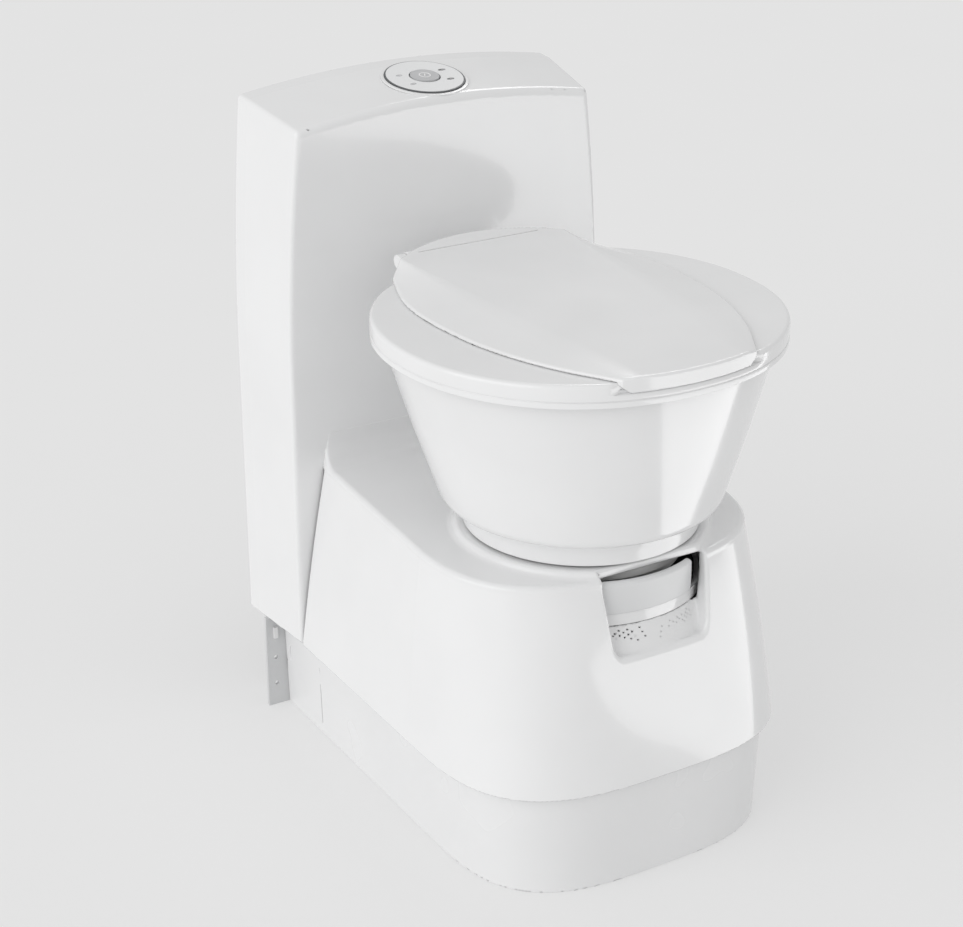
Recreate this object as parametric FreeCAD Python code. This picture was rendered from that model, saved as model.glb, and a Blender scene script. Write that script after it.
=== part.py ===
"""Cassette toilet with a swivelling bowl, a tall flush console and a waste tank that slides out at the back.

Units are millimetres, +Z is up, -Y is the front, and the origin is the middle of the footprint on the floor.
"""
import FreeCAD, Part
import math
import os

V = FreeCAD.Vector
UP = V(0, 0, 1)
ACROSS = V(1, 0, 0)
BACK = V(0, 1, 0)

# ---- driving dimensions ------------------------------------------------------------------------
FRONT_Y = -287.0            # foremost point: the front of the seat and lid
REAR_Y = 287.0              # back of the console, against the wall
WALL = 3.2                  # moulded plastic wall
GAP = 0.3                   # clearance between pieces on different bodies
EDGE_STEPS = 16             # points along a rounded outline
AXIS_Y = -97.4              # swivel axis of the bowl, at x = 0

# base tray
BASE_HALF = 177.6
BASE_DRAFT = 3.3
BASE_DEPTH = 164.3
BASE_CENTRE_Y = -92.8
BASE_POWER = 3.19
BASE_TOP = 118.0
FLOOR_T = 4.0
FLANGE_Y = 247.5            # front of the rear frame plate
FLANGE_T = 4.0
FLANGE_HALF = 203.5

# bench cover
SKIRT_Z = 116.3
SKIRT_HALF = 196.65
SKIRT_DEPTH = 185.3
SKIRT_CENTRE_Y = -81.6
SKIRT_POWER = 3.15
BENCH_Z = 330.0
BENCH_HALF = 178.0
BENCH_DEPTH = 150.0
BENCH_CENTRE_Y = -75.0
BENCH_POWER = 2.6
BENCH_REAR_HALF = 161.0
BENCH_REAR_Y = 170.8
BENCH_EDGE_R = 10.0
BOSS_R = 130.0
BOSS_TOP = 337.0
NECK_HOLE_R = 112.0
RECESS_X = 6.0              # the recess sits a little to the right of the middle
RECESS_TOP_HALF = 62.0
RECESS_FOOT_HALF = 54.0
RECESS_FOOT_Z = 250.0
RECESS_BACK_Y = -213.0
RECESS_SIDE_Z = 318.0       # above this the recess has upright sides
RAMP_FOOT_Y = -243.0        # the floor of the recess slopes up from here to the deck
RAMP_HEAD_Y = -227.0

# console
CONSOLE_FRONT_Y = 171.0
CONSOLE_CREASE_Y = 266.0
CONSOLE_FOOT_Z = 116.0
CONSOLE_HALF = (195.0, 203.0, 204.0)        # half width at the front, the crease and the back
CONSOLE_TAPER = (17.5, 13.5, 13.5)          # how much narrower each is at the top corners
CONSOLE_CREST = (719.3, 735.0, 736.5)       # height of each at the middle
ARCH = 16.0                                 # how far the top falls from the middle to its corners
TAPER_Z = 450.0
TAPER_POWER = 1.8
TOP_TILT = math.degrees(math.atan2(CONSOLE_CREST[1] - CONSOLE_CREST[0], CONSOLE_CREASE_Y - CONSOLE_FRONT_Y))
TANK_BAY_TOP = 252.0
PANEL_Y = 221.5
PANEL_Z = 727.7
BACK_SCREWS = [(x, z) for x in (-185, 185) for z in (310, 440, 580)]
INLET_X = 150.0             # water inlet at +x and cable gland at -x, both through the back
INLET_Z = 285.0
LIGHT_TURNS = (-35, 20, 160, 215)           # indicator windows round the flush button, in degrees
LIGHT_R = 2.6
LIGHT_RING_R = 28.0

# bowl
FOOT_R = 122.2
FOOT_Z = 339.5
BOWL_FOOT_Z = 366.0
BOWL_FOOT_R = 143.8
BOWL_RIM_Z = 540.0
BOWL_RIM_HALF = 197.5
BOWL_RIM_DEPTH = 190.0
OVAL_CENTRE_Y = -87.2
OVAL_POWER = 2.12
OUTLET_R = 31.0
SPIGOT_R = 34.5
SPIGOT_FOOT_Z = 296.0
SUMP_R = 62.0               # where the liner's cone meets the dished sump
SUMP_Z = 362.0
LINER_R = 143.0
LINER_TOP_Z = 541.0
LINER_T = 5.0

# seat and lid
SEAT_HALF = 207.3
SEAT_DEPTH = 199.8
SEAT_FOOT_Z = 535.7
SEAT_TOP_Z = 559.0
SEAT_HOLE_HALF = 118.0
SEAT_HOLE_DEPTH = 138.0
SEAT_HOLE_Y = -97.0
SEAT_REAR_CUT_Y = 76.0
SEAT_REAR_CUT_Z = 547.0
HINGE_Y = 119.0
HINGE_Z = 566.0
HINGE_R = 8.5
PIN_R = 4.0
HINGE_HALF = 72.0
KNUCKLE = 10.0
LID_FRONT_HALF = 79.0
LID_REAR_Y = 110.0
LID_REAR_HALF = 100.0
LID_SIDE = ((124.5, 65), (146, 0), (147, -80), (138.5, -140), (118, -200), (88.5, -255))
LID_PADS = ((138.8, -118), (143.5, -20))
LID_CREASE_REAR_Z = 577.0
LID_CREASE_FRONT_Z = 565.0
LID_EDGE_Z = 565.0

# blade drive
DECK_R = 128.5
DECK_Z = 276.0
DECK_T = 4.0
RAMP_HEAD_Z = DECK_Z - 0.6  # the recess floor ends just under the deck
DECK_RIM_Z = 288.3
THROAT_R = 38.0
THROAT_WALL = 3.0
THROAT_FOOT_Z = 242.3
FLANGE_Z = 288.0
UNION_R = (60.0, 80.0)                      # inside and outside of the ring trough for flush water
UNION_MID_R = 70.0
UNION_TOP_Z = 303.0
LEVER_Z = 281.0
LEVER_T = 5.0
HANDLE_R = 131.3
HANDLE_T = 5.8
HANDLE_Z = (289.0, 325.0)
HANDLE_ARC = (-143.0, -65.7)                # degrees about the swivel axis, -90 is the front
LEVER_TURN = 40.0
CRANK_R = 110.0
CRANK_ANGLE = -90.0 + LEVER_TURN / 2
CRANK_PIN_R = 4.0
BLADE_TRAVEL = 2 * CRANK_R * math.sin(math.radians(LEVER_TURN / 2))
BLADE_R = 42.0
BLADE_Z = 224.0
BLADE_T = 3.0

# waste tank
TANK_HALF = 150.0
TANK_FRONT_Y = -185.0
TANK_REAR_Y = 222.0
TANK_FOOT_Z = 14.0
TANK_TOP_Z = 214.0
TANK_CORNER = 26.0
SHELF_Y = 156.0
SHELF_Z = 148.0
TANK_NECK_R = 34.0
WHEEL_R = 22.0
WHEEL_W = 15.0
WHEEL_X = 131.0
AXLE_R = 4.0
AXLE_Y = -160.0
AXLE_Z = FLOOR_T + WHEEL_R + GAP
SPOUT_X = 95.0
SPOUT_Y = 190.0
SPOUT_Z = 176.0
SPOUT_R = 19.0
SPOUT_REACH = 118.0
VENT_X = -112.0
GRIP_X = 141.0
GRIP_Z = 104.0
GRIP_ROD_R = 4.5


# ---- helpers -----------------------------------------------------------------------------------
def box(x0, x1, y0, y1, z0, z1):
    return Part.makeBox(x1 - x0, y1 - y0, z1 - z0, V(x0, y0, z0))


def rod(radius, start, end):
    return Part.makeCylinder(radius, (end - start).Length, start, end - start)


def post(radius, x, y, z0, z1):
    return Part.makeCylinder(radius, z1 - z0, V(x, y, z0), UP)


def ring(outer, inner, z0, z1, x=0.0, y=AXIS_Y):
    return post(outer, x, y, z0, z1).cut(post(inner, x, y, z0 - 1, z1 + 1))


def sector(outer, inner, z0, z1, start_deg, end_deg):
    """Piece of a ring about the swivel axis, between two angles."""
    tool = Part.makeCylinder(outer, z1 - z0, V(0, AXIS_Y, z0), UP, end_deg - start_deg)
    tool.rotate(V(0, AXIS_Y, 0), UP, start_deg)
    return tool.cut(post(inner, 0, AXIS_Y, z0 - 1, z1 + 1))


def join(shapes):
    first, rest = shapes[0], shapes[1:]
    return first.fuse(rest) if rest else first


def mirror_x(shape):
    return shape.mirror(V(0, 0, 0), ACROSS)


def both_sides(shape):
    return Part.makeCompound([shape, mirror_x(shape)])


def about_axis(radius, degrees, z=0.0):
    angle = math.radians(degrees)
    return V(radius * math.cos(angle), AXIS_Y + radius * math.sin(angle), z)


def prism(wire, z0, z1):
    face = Part.Face(wire)
    face.translate(V(0, 0, z0))
    return face.extrude(V(0, 0, z1 - z0))


def polygon_yz(points, x0, x1):
    corners = [V(x0, y, z) for y, z in points]
    return Part.Face(Part.makePolygon(corners + corners[:1])).extrude(V(x1 - x0, 0, 0))


def bow_front(half, depth, centre_y, power, rear_half, rear_y, z):
    """Outline with a rounded front and sides that run straight to the back."""
    points = []
    for step in range(EDGE_STEPS + 1):
        turn = math.pi * step / EDGE_STEPS
        across = math.copysign(abs(math.cos(turn)) ** (2 / power), math.cos(turn))
        ahead = abs(math.sin(turn)) ** (2 / power)
        points.append(V(half * across, centre_y - depth * ahead, z))
    curve = Part.BSplineCurve()
    curve.interpolate(Points=points, InitialTangent=V(0, -1, 0), FinalTangent=V(0, 1, 0))
    right = V(rear_half, rear_y, z)
    left = V(-rear_half, rear_y, z)
    edges = [Part.makeLine(right, points[0]), curve.toShape(), Part.makeLine(points[-1], left),
             Part.makeLine(left, right)]
    return Part.Wire(edges)


def oval(half, depth, centre_y, z, power=OVAL_POWER):
    points = []
    for step in range(2 * EDGE_STEPS):
        turn = math.pi * step / EDGE_STEPS
        across = math.copysign(abs(math.cos(turn)) ** (2 / power), math.cos(turn))
        along = math.copysign(abs(math.sin(turn)) ** (2 / power), math.sin(turn))
        points.append(V(half * across, centre_y + depth * along, z))
    curve = Part.BSplineCurve()
    curve.interpolate(points, PeriodicFlag=True)
    return Part.Wire(curve.toShape())


def turned(profile, y=AXIS_Y):
    """Solid turned about the vertical line at x = 0 from (radius, z) corners."""
    corners = [V(r, y, z) for r, z in profile]
    face = Part.Face(Part.makePolygon(corners + corners[:1]))
    return face.revolve(V(0, y, 0), UP, 360)


def pipe(points, radius, hole=0.0):
    """Tube along straight runs joined by tangent arcs."""
    edges = []
    start = points[0]
    for before, corner, after in zip(points, points[1:], points[2:]):
        back = (before - corner).normalize()
        ahead = (after - corner).normalize()
        half_turn = (math.pi - back.getAngle(ahead)) / 2
        set_back = 0.45 * min((corner - before).Length, (after - corner).Length)
        bend = set_back / math.tan(half_turn)
        entry = corner + back * set_back
        leave = corner + ahead * set_back
        middle_way = (back + ahead).normalize()
        middle = corner + middle_way * (bend / math.cos(half_turn) - bend)
        edges.append(Part.makeLine(start, entry))
        edges.append(Part.Arc(entry, middle, leave).toShape())
        start = leave
    edges.append(Part.makeLine(start, points[-1]))
    path = Part.Wire(edges)
    section = Part.Wire(Part.makeCircle(radius, points[0], points[1] - points[0]))
    tube = path.makePipeShell([section], True, False, 2)
    if hole:
        bore = Part.Wire(Part.makeCircle(hole, points[0], points[1] - points[0]))
        tube = tube.cut(path.makePipeShell([bore], True, False, 2))
    return tube


def pan_screw(radius, length, place, way):
    head_t = 0.9 * radius
    head = Part.makeCylinder(1.9 * radius, head_t, place, way)
    shank = Part.makeCylinder(radius, length, place, way * -1)
    slot = Part.makeBox(3.2 * radius, 0.5 * radius, 0.5 * radius)
    slot.translate(V(-1.6 * radius, -0.25 * radius, head_t - 0.4 * radius))
    slot.Placement = FreeCAD.Placement(place, FreeCAD.Rotation(UP, way)).multiply(slot.Placement)
    return head.fuse(shank).cut(slot)


# ---- base, frame and covers --------------------------------------------------------------------
def base_section(z, inset, rear_y):
    grown = BASE_DRAFT * z / BASE_TOP
    half = BASE_HALF + grown - inset
    depth = BASE_DEPTH + grown - inset
    return bow_front(half, depth, BASE_CENTRE_Y, BASE_POWER, half, rear_y, z)


def base_tray():
    outer = Part.makeLoft([base_section(0, 0, FLANGE_Y), base_section(BASE_TOP, 0, FLANGE_Y)], True, True)
    inner = Part.makeLoft([base_section(FLOOR_T, WALL, FLANGE_Y + 20),
                           base_section(BASE_TOP + 20, WALL, FLANGE_Y + 20)], True, True)
    ledge_half = SKIRT_HALF - 2 * WALL
    ledge_outline = bow_front(ledge_half, SKIRT_DEPTH - 2 * WALL, SKIRT_CENTRE_Y, SKIRT_POWER, ledge_half,
                              FLANGE_Y, 0)
    ledge = prism(ledge_outline, BASE_TOP, BASE_TOP + WALL)
    tray = join([outer, ledge]).cut(inner)
    for x in (-150, 150):
        for y in (-110, 190):
            tray = tray.cut(post(2.75, x, y, -1, FLOOR_T + 1))
    panel = box(BASE_HALF - 1.0, BASE_HALF + 20, 160, 236, 14, 84)
    console_room = box(-220, 220, BENCH_REAR_Y - GAP, REAR_Y, CONSOLE_FOOT_Z - GAP, 140)
    return tray.cut([panel, mirror_x(panel), console_room])


def rear_frame():
    foot = box(-FLANGE_HALF, FLANGE_HALF, FLANGE_Y, FLANGE_Y + FLANGE_T, 0, CONSOLE_FOOT_Z - GAP)
    head = box(-192, 192, FLANGE_Y, FLANGE_Y + FLANGE_T, CONSOLE_FOOT_Z - GAP, 274)
    window = box(-158, 158, FLANGE_Y - 1, FLANGE_Y + 10, FLOOR_T, TANK_BAY_TOP)
    frame = join([foot, head]).cut(window)
    for x in (-192.5, 192.5):
        for z in (28, 62):
            frame = frame.cut(rod(2.6, V(x, FLANGE_Y - 1, z), V(x, FLANGE_Y + 10, z)))
    head_seal = box(-158, 158, FLANGE_Y + FLANGE_T, REAR_Y - WALL, TANK_BAY_TOP, TANK_BAY_TOP + WALL)
    sides = [box(side - 1.6, side + 1.6, FLANGE_Y + FLANGE_T, REAR_Y - WALL, FLOOR_T, TANK_BAY_TOP + WALL)
             for side in (-159.6, 159.6)]
    return join([frame, head_seal] + sides)


def flange_tabs():
    tab = box(190.2, 194.8, FLANGE_Y - 3.0, FLANGE_Y, 88, 102)
    return both_sides(tab)


def bench_section(share, inset, rear_y, drop=0.0):
    """Outline of the cover, share 0 at the skirt and 1 at the top."""
    def mix(low, high):
        return low + (high - low) * share
    bulge = 2.0 * math.sin(math.pi * share)
    half = mix(SKIRT_HALF, BENCH_HALF) + bulge - inset
    depth = mix(SKIRT_DEPTH, BENCH_DEPTH) + bulge - inset
    rear_half = mix(SKIRT_HALF, BENCH_REAR_HALF) + bulge - inset
    return bow_front(half, depth, mix(SKIRT_CENTRE_Y, BENCH_CENTRE_Y), mix(SKIRT_POWER, BENCH_POWER),
                     rear_half, rear_y, mix(SKIRT_Z, BENCH_Z - drop))


def bench_body(inset, rear_y, drop):
    """Solid of the cover's shape with its top edge rounded in short steps."""
    top = BENCH_Z - drop
    height = top - SKIRT_Z
    sections = [bench_section(share, inset, rear_y, drop) for share in (0, 0.25, 0.5, 0.75)]
    for turn in (0, 30, 60, 90):
        rise = BENCH_EDGE_R * math.sin(math.radians(turn))
        round_in = BENCH_EDGE_R * (1 - math.cos(math.radians(turn)))
        share = (height - BENCH_EDGE_R + rise) / height
        sections.append(bench_section(share, inset + round_in, rear_y, drop))
    return Part.makeLoft(sections, True, True)


def recess_cut():
    """Space of the front recess: open at the top, sloping in at its foot."""
    low = RECESS_FOOT_Z
    side = RECESS_TOP_HALF
    foot = RECESS_FOOT_HALF
    corners = [V(-side, 0, BENCH_Z + 20), V(-side, 0, RECESS_SIDE_Z), V(-foot - 4, 0, low + 8),
               V(-foot + 4, 0, low), V(foot - 4, 0, low), V(foot + 4, 0, low + 8),
               V(side, 0, RECESS_SIDE_Z), V(side, 0, BENCH_Z + 20)]
    front = Part.Face(Part.makePolygon(corners + corners[:1]))
    front.translate(V(RECESS_X, FRONT_Y, 0))
    reach = front.extrude(V(0, RECESS_BACK_Y - FRONT_Y, 0))
    ramp = polygon_yz([(RAMP_FOOT_Y, low - 10), (RAMP_FOOT_Y, low), (RAMP_HEAD_Y, RAMP_HEAD_Z),
                       (-200, RAMP_HEAD_Z), (-200, low - 10)], -90, 90)
    return reach.cut(ramp)


def recess_wall():
    """Moulded walls that line the recess inside the cover."""
    low = RECESS_FOOT_Z
    right = box(RECESS_X + RECESS_TOP_HALF - 1, RECESS_X + RECESS_TOP_HALF + WALL, -260, -218.5, low, 322)
    left = box(RECESS_X - RECESS_TOP_HALF - WALL, RECESS_X - RECESS_TOP_HALF + 1, -260, -218.5, low, 322)
    ramp = polygon_yz([(-262, low - 4), (-262, low), (RAMP_FOOT_Y, low), (RAMP_HEAD_Y, RAMP_HEAD_Z),
                       (RAMP_HEAD_Y + 3.5, RAMP_HEAD_Z), (RAMP_HEAD_Y + 3.5, RAMP_HEAD_Z - 4),
                       (RAMP_FOOT_Y + 2.5, low - 4)],
                      RECESS_X - RECESS_TOP_HALF, RECESS_X + RECESS_TOP_HALF)
    return [right, left, ramp]


def bench_cover():
    outer = bench_body(0, BENCH_REAR_Y, 0)
    inner = bench_body(WALL, BENCH_REAR_Y + 20, WALL)
    below = box(-300, 300, -300, 300, SKIRT_Z - 20, SKIRT_Z + 0.01)
    boss = turned([(NECK_HOLE_R, BENCH_Z - WALL), (BOSS_R + 8, BENCH_Z - WALL), (BOSS_R + 8, BENCH_Z),
                   (BOSS_R, BOSS_TOP), (NECK_HOLE_R, BOSS_TOP)])
    lining = join(recess_wall()).common(outer)
    shell = outer.cut(inner).cut(below)
    shell = join([shell, boss, lining])
    shell = shell.cut(post(NECK_HOLE_R, 0, AXIS_Y, BENCH_Z - 20, BENCH_Z + 20))
    sweep = sector(HANDLE_R + 0.5, HANDLE_R - 12, HANDLE_Z[0] - 1, HANDLE_Z[1] + 0.5, -150, -20)
    return shell.cut([recess_cut(), sweep])


def console_section(place, inset, y):
    half = CONSOLE_HALF[place] - inset
    taper = CONSOLE_TAPER[place]
    crest = CONSOLE_CREST[place] - inset
    corner_z = crest - ARCH
    points = []
    for step in range(7):
        z = TAPER_Z + (corner_z - TAPER_Z) * step / 6
        narrow = taper * (step / 6) ** TAPER_POWER
        points.append(V(half - narrow, y, z))
    side = Part.BSplineCurve()
    side.interpolate(Points=points, InitialTangent=UP, FinalTangent=points[-1] - points[-2])
    corner = points[-1]
    foot = V(half, y, CONSOLE_FOOT_Z - (20 if inset else 0))
    arch = Part.Arc(corner, V(0, y, crest), V(-corner.x, y, corner.z)).toShape()
    right = side.toShape()
    left = right.mirror(V(0, 0, 0), ACROSS)
    left_foot = V(-foot.x, y, foot.z)
    lines = [Part.makeLine(foot, points[0]), right, arch, left,
             Part.makeLine(V(-half, y, TAPER_Z), left_foot), Part.makeLine(left_foot, foot)]
    return Part.Wire(Part.__sortEdges__(lines))


def rear_housing():
    outer = join([Part.makeLoft([console_section(0, 0, CONSOLE_FRONT_Y),
                                 console_section(1, 0, CONSOLE_CREASE_Y)], True, True),
                  Part.makeLoft([console_section(1, 0, CONSOLE_CREASE_Y),
                                 console_section(2, 0, REAR_Y)], True, True)])
    inner = join([Part.makeLoft([console_section(0, WALL, CONSOLE_FRONT_Y + WALL),
                                 console_section(1, WALL, CONSOLE_CREASE_Y)], True, True),
                  Part.makeLoft([console_section(1, WALL, CONSOLE_CREASE_Y),
                                 console_section(2, WALL, REAR_Y + 1)], True, True)])
    shell = outer.cut(inner)
    passage = box(-158, 158, CONSOLE_FRONT_Y - 5, CONSOLE_FRONT_Y + 10, 0, BENCH_Z - 8)
    hole = panel_disc(36, -12, 12)
    return shell.cut([passage, hole])


def housing_back():
    """Panel that closes the back of the console above the tank bay."""
    outline = console_section(2, WALL + 0.5, REAR_Y - WALL)
    panel = Part.Face(outline).extrude(V(0, WALL, 0))
    below = box(-300, 300, REAR_Y - 20, REAR_Y + 20, 0, TANK_BAY_TOP + WALL + 0.2)
    ribs = [box(-150, 150, REAR_Y - WALL - 5, REAR_Y - WALL, z, z + 3) for z in (300, 400, 500, 600)]
    holes = []
    for x, z in BACK_SCREWS:
        holes.append(rod(2.0, V(x, REAR_Y - 20, z), V(x, REAR_Y + 1, z)))
        holes.append(rod(3.9, V(x, REAR_Y - 1.9, z), V(x, REAR_Y + 1, z)))
    holes.append(rod(8.0, V(INLET_X, REAR_Y - 20, INLET_Z), V(INLET_X, REAR_Y + 1, INLET_Z)))
    holes.append(rod(3.0, V(-INLET_X, REAR_Y - 20, INLET_Z), V(-INLET_X, REAR_Y + 1, INLET_Z)))
    return join([panel.cut(below)] + ribs).cut(holes)


def housing_screws():
    screws = [pan_screw(2.0, 6.0, V(x, REAR_Y - 1.9, z), BACK) for x, z in BACK_SCREWS]
    return Part.makeCompound(screws)


# ---- control panel -----------------------------------------------------------------------------
def on_panel(shape):
    """Place a shape drawn about the origin on the tilted top of the console."""
    shape.rotate(V(0, 0, 0), ACROSS, TOP_TILT)
    shape.translate(V(0, PANEL_Y, PANEL_Z))
    return shape


def panel_disc(radius, low, high, hole=0.0):
    disc = Part.makeCylinder(radius, high - low, V(0, 0, low), UP)
    if hole:
        disc = disc.cut(Part.makeCylinder(hole, high - low + 2, V(0, 0, low - 1), UP))
    return on_panel(disc)


def control_bezel():
    flange = Part.makeCylinder(43.8, 2.2, V(0, 0, 0.3), UP)
    collar = Part.makeCylinder(35.8, 10, V(0, 0, -9.5), UP)
    bore = Part.makeCylinder(32.5, 30, V(0, 0, -15), UP)
    seat = Part.makeCylinder(40.5, 5, V(0, 0, 1.2), UP)
    return on_panel(flange.fuse(collar).cut(bore).cut(seat))


def control_pad():
    pad = Part.makeCylinder(40.3, 1.8, V(0, 0, 1.2), UP)
    web = Part.makeCylinder(32.3, 6, V(0, 0, -4.8), UP)
    well = Part.makeCylinder(16.4, 20, V(0, 0, -8), UP)
    pad = pad.fuse(web).cut(well)
    for turn in LIGHT_TURNS:
        hole = Part.makeCylinder(LIGHT_R + 0.1, 12, light_place(turn) + V(0, 0, -6), UP)
        pad = pad.cut(hole)
    return on_panel(pad)


def light_place(turn):
    angle = math.radians(turn)
    return V(LIGHT_RING_R * math.cos(angle), LIGHT_RING_R * math.sin(angle), 0)


def indicator_lights():
    lights = [Part.makeCylinder(LIGHT_R, 7.2, light_place(turn) + V(0, 0, -4), UP) for turn in LIGHT_TURNS]
    return Part.makeCompound([on_panel(light) for light in lights])


def flush_button():
    head = Part.makeCylinder(16.0, 6.6, V(0, 0, -2.2), UP)
    stem = Part.makeCylinder(4.0, 4.4, V(0, 0, -6.6), UP)
    return on_panel(head.fuse(stem))


def control_board():
    board = box(-30, 30, -26, 26, -13.5, -11.9)
    switch = Part.makeCylinder(5, 2.6, V(0, 0, -11.9), UP)
    chips = [box(x, x + 10, y, y + 8, -16.5, -13.5) for x, y in ((-24, -18), (-6, -20), (12, 6), (-22, 8))]
    stands = [Part.makeCylinder(2.0, 2.2, V(x, y, -11.9), UP) for x, y in
              ((-26, -12), (26, -12), (-26, 12), (26, 12))]
    return on_panel(join([board, switch] + chips + stands))


# ---- console inside ----------------------------------------------------------------------------
def flush_tank():
    outer = box(-160, 160, 178, 276, 350, 648)
    outer = outer.makeFillet(14, [e for e in outer.Edges if abs(e.BoundBox.ZLength) > 200])
    inner = box(-157, 157, 181, 273, 353, 645)
    neck = post(16, -110, 227, 645, 664).cut(post(13, -110, 227, 640, 665))
    sump = post(17, 60, 227, 341, 351).cut(post(14, 60, 227, 340, 356))
    shell = outer.cut([inner, post(13, -110, 227, 640, 650), post(14, 60, 227, 345, 356),
                       post(5, 140, 198, 345, 356)])
    return join([shell, neck, sump])


def filler_cap():
    cap = ring(19, 16.2, 650, 668, -110, 227)
    lid = post(19, -110, 227, 664.2, 669)
    return join([cap, lid])


def flush_pump():
    flange = post(19, 60, 227, 336, 341)
    motor = post(24, 60, 227, 278, 336)
    outlet = rod(7, V(60, 227, 296), V(60, 196, 296))
    bore = rod(4.5, V(60, 215, 296), V(60, 195, 296))
    return join([flange, motor, outlet]).cut(bore)


def water_inlet():
    """Hose tail through the back panel, with a second tail inside for the tank's hose."""
    def along(radius, y0, y1):
        return rod(radius, V(INLET_X, y0, INLET_Z), V(INLET_X, y1, INLET_Z))
    flange = along(14, REAR_Y - WALL - 4, REAR_Y - WALL)
    tail = along(8, REAR_Y - WALL, REAR_Y)
    return join([flange, tail, along(5, 244, REAR_Y - WALL - 4)]).cut(along(3.5, 240, REAR_Y + 1))


def console_hoses():
    """Soft hoses: from the wall inlet up to the tank, and from the pump forward to the throat."""
    fill = [V(INLET_X, 258, INLET_Z), V(INLET_X, 214, INLET_Z), V(140, 198, 314), V(140, 198, 350)]
    flush = [V(60, 196, 296), V(60, 158, 296), V(40, 112, 296), V(0, 50, 296),
             V(0, AXIS_Y + UNION_R[1] + GAP, 296)]
    return Part.makeCompound([pipe(fill, 7.4, 5.0), pipe(flush, 6.0, 4.5)])


def cable_gland():
    def along(radius, y0, y1):
        return rod(radius, V(-INLET_X, y0, INLET_Z), V(-INLET_X, y1, INLET_Z))
    nut = along(10, REAR_Y - WALL - 5, REAR_Y - WALL)
    return nut.fuse(along(7.5, REAR_Y - WALL - 14, REAR_Y - WALL - 5)).cut(along(3.0, REAR_Y - 30, REAR_Y))


def fuse_holder():
    body = box(-172, -150, 256, 278, 310, 344)
    cap = rod(7, V(-161, 250, 327), V(-161, 256, 327))
    return body.fuse(cap)


def pump_lead():
    points = [V(-80, 232, 700), V(-120, 236, 696), V(-168, 244, 680), V(-176, 246, 600), V(-176, 246, 480),
              V(-172, 254, 392), V(-167, 262, 368), V(-167, 262, 344)]
    return pipe(points, 2.4)


# ---- swivel, throat and blade drive ------------------------------------------------------------
def bearing_ring():
    body = ring(NECK_HOLE_R - 0.2, 100.4, 318, 334)
    flange = ring(NECK_HOLE_R + 6, NECK_HOLE_R - 0.2, 320, BENCH_Z - WALL)
    ring_shape = join([body, flange])
    return ring_shape.cut(sector(NECK_HOLE_R + 10, NECK_HOLE_R - 0.2, 300, 328, -180, 0))


def support_deck():
    plate = ring(DECK_R, THROAT_R + THROAT_WALL, DECK_Z, DECK_Z + DECK_T)
    rim = ring(DECK_R, DECK_R - 4, DECK_Z, DECK_RIM_Z)
    slot = sector(CRANK_R + 6, CRANK_R - 6, DECK_Z - 1, DECK_Z + DECK_T + 1, -118, -62)
    legs = [box(side * 136 - 14, side * 136 + 14, AXIS_Y - 14, AXIS_Y + 14, DECK_Z, DECK_Z + DECK_T)
            for side in (-1, 1)]
    walls = [box(side * 148 - 2, side * 148 + 2, AXIS_Y - 14, AXIS_Y + 14, DECK_Z, BENCH_Z - WALL)
             for side in (-1, 1)]
    return join([plate, rim] + legs + walls).cut(slot)


def throat_tube():
    return ring(THROAT_R + THROAT_WALL, THROAT_R, THROAT_FOOT_Z, 306)


def water_union_base():
    """Ring trough round the throat that takes flush water in from the fixed side."""
    floor = ring(UNION_R[1], THROAT_R + THROAT_WALL, FLANGE_Z, FLANGE_Z + 2.5)
    trough = ring(UNION_R[1], UNION_R[0], FLANGE_Z + 2.5, UNION_TOP_Z)
    groove = ring(UNION_R[1] - 4, UNION_R[0] + 4, FLANGE_Z + 5, UNION_TOP_Z + 1)
    inlet = rod(4.5, V(0, AXIS_Y + UNION_MID_R, 296), V(0, AXIS_Y + 90, 296))
    return join([floor, trough]).cut([groove, inlet])


def lever_ring():
    plate = ring(118, THROAT_R + THROAT_WALL + 0.05, LEVER_Z, LEVER_Z + LEVER_T)
    lighten = [post(14, p.x, p.y, LEVER_Z - 1, LEVER_Z + LEVER_T + 1)
               for p in (about_axis(80, turn) for turn in (0, 45, 90, 135, 180, 270))]
    low, high = HANDLE_ARC
    riser = sector(118, 114, LEVER_Z, 300, low + 6, high - 6)
    web = sector(HANDLE_R - HANDLE_T, 114, 296, 300, low + 6, high - 6)
    pin_place = about_axis(CRANK_R, CRANK_ANGLE)
    pin = post(CRANK_PIN_R, pin_place.x, pin_place.y, 228.5, LEVER_Z + 1)
    return join([plate.cut(lighten), riser, web, pin])


def blade_handle():
    low, high = HANDLE_ARC
    grip = sector(HANDLE_R, HANDLE_R - HANDLE_T, HANDLE_Z[0], HANDLE_Z[1], low, high)
    ends = [e for e in grip.Edges if e.BoundBox.ZLength > 30 and e.BoundBox.XLength < 1]
    return grip.makeFillet(2.0, ends)


# ---- bowl --------------------------------------------------------------------------------------
def circle_wire(radius, z):
    return oval(radius, radius, AXIS_Y, z, 2.0)


def bowl_skin(inset):
    slope = (BOWL_RIM_HALF - BOWL_FOOT_R) / (BOWL_RIM_Z - BOWL_FOOT_Z)
    sections = [circle_wire(BOWL_FOOT_R - 18 - inset, BOWL_FOOT_Z + (0 if not inset else WALL)),
                circle_wire(BOWL_FOOT_R - 4 - inset, BOWL_FOOT_Z + 6 + inset / 2),
                circle_wire(BOWL_FOOT_R + 20 * slope - inset, BOWL_FOOT_Z + 20),
                oval(BOWL_RIM_HALF - inset, BOWL_RIM_DEPTH - inset, OVAL_CENTRE_Y,
                     BOWL_RIM_Z + (1 if inset else 0))]
    return Part.makeLoft(sections, True, True)


def hose_notch():
    """Room behind the throat where the bowl's hose climbs from the hub into the bowl."""
    return box(-7, 7, AXIS_Y + 84, AXIS_Y + 114, 350, 384)


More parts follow.
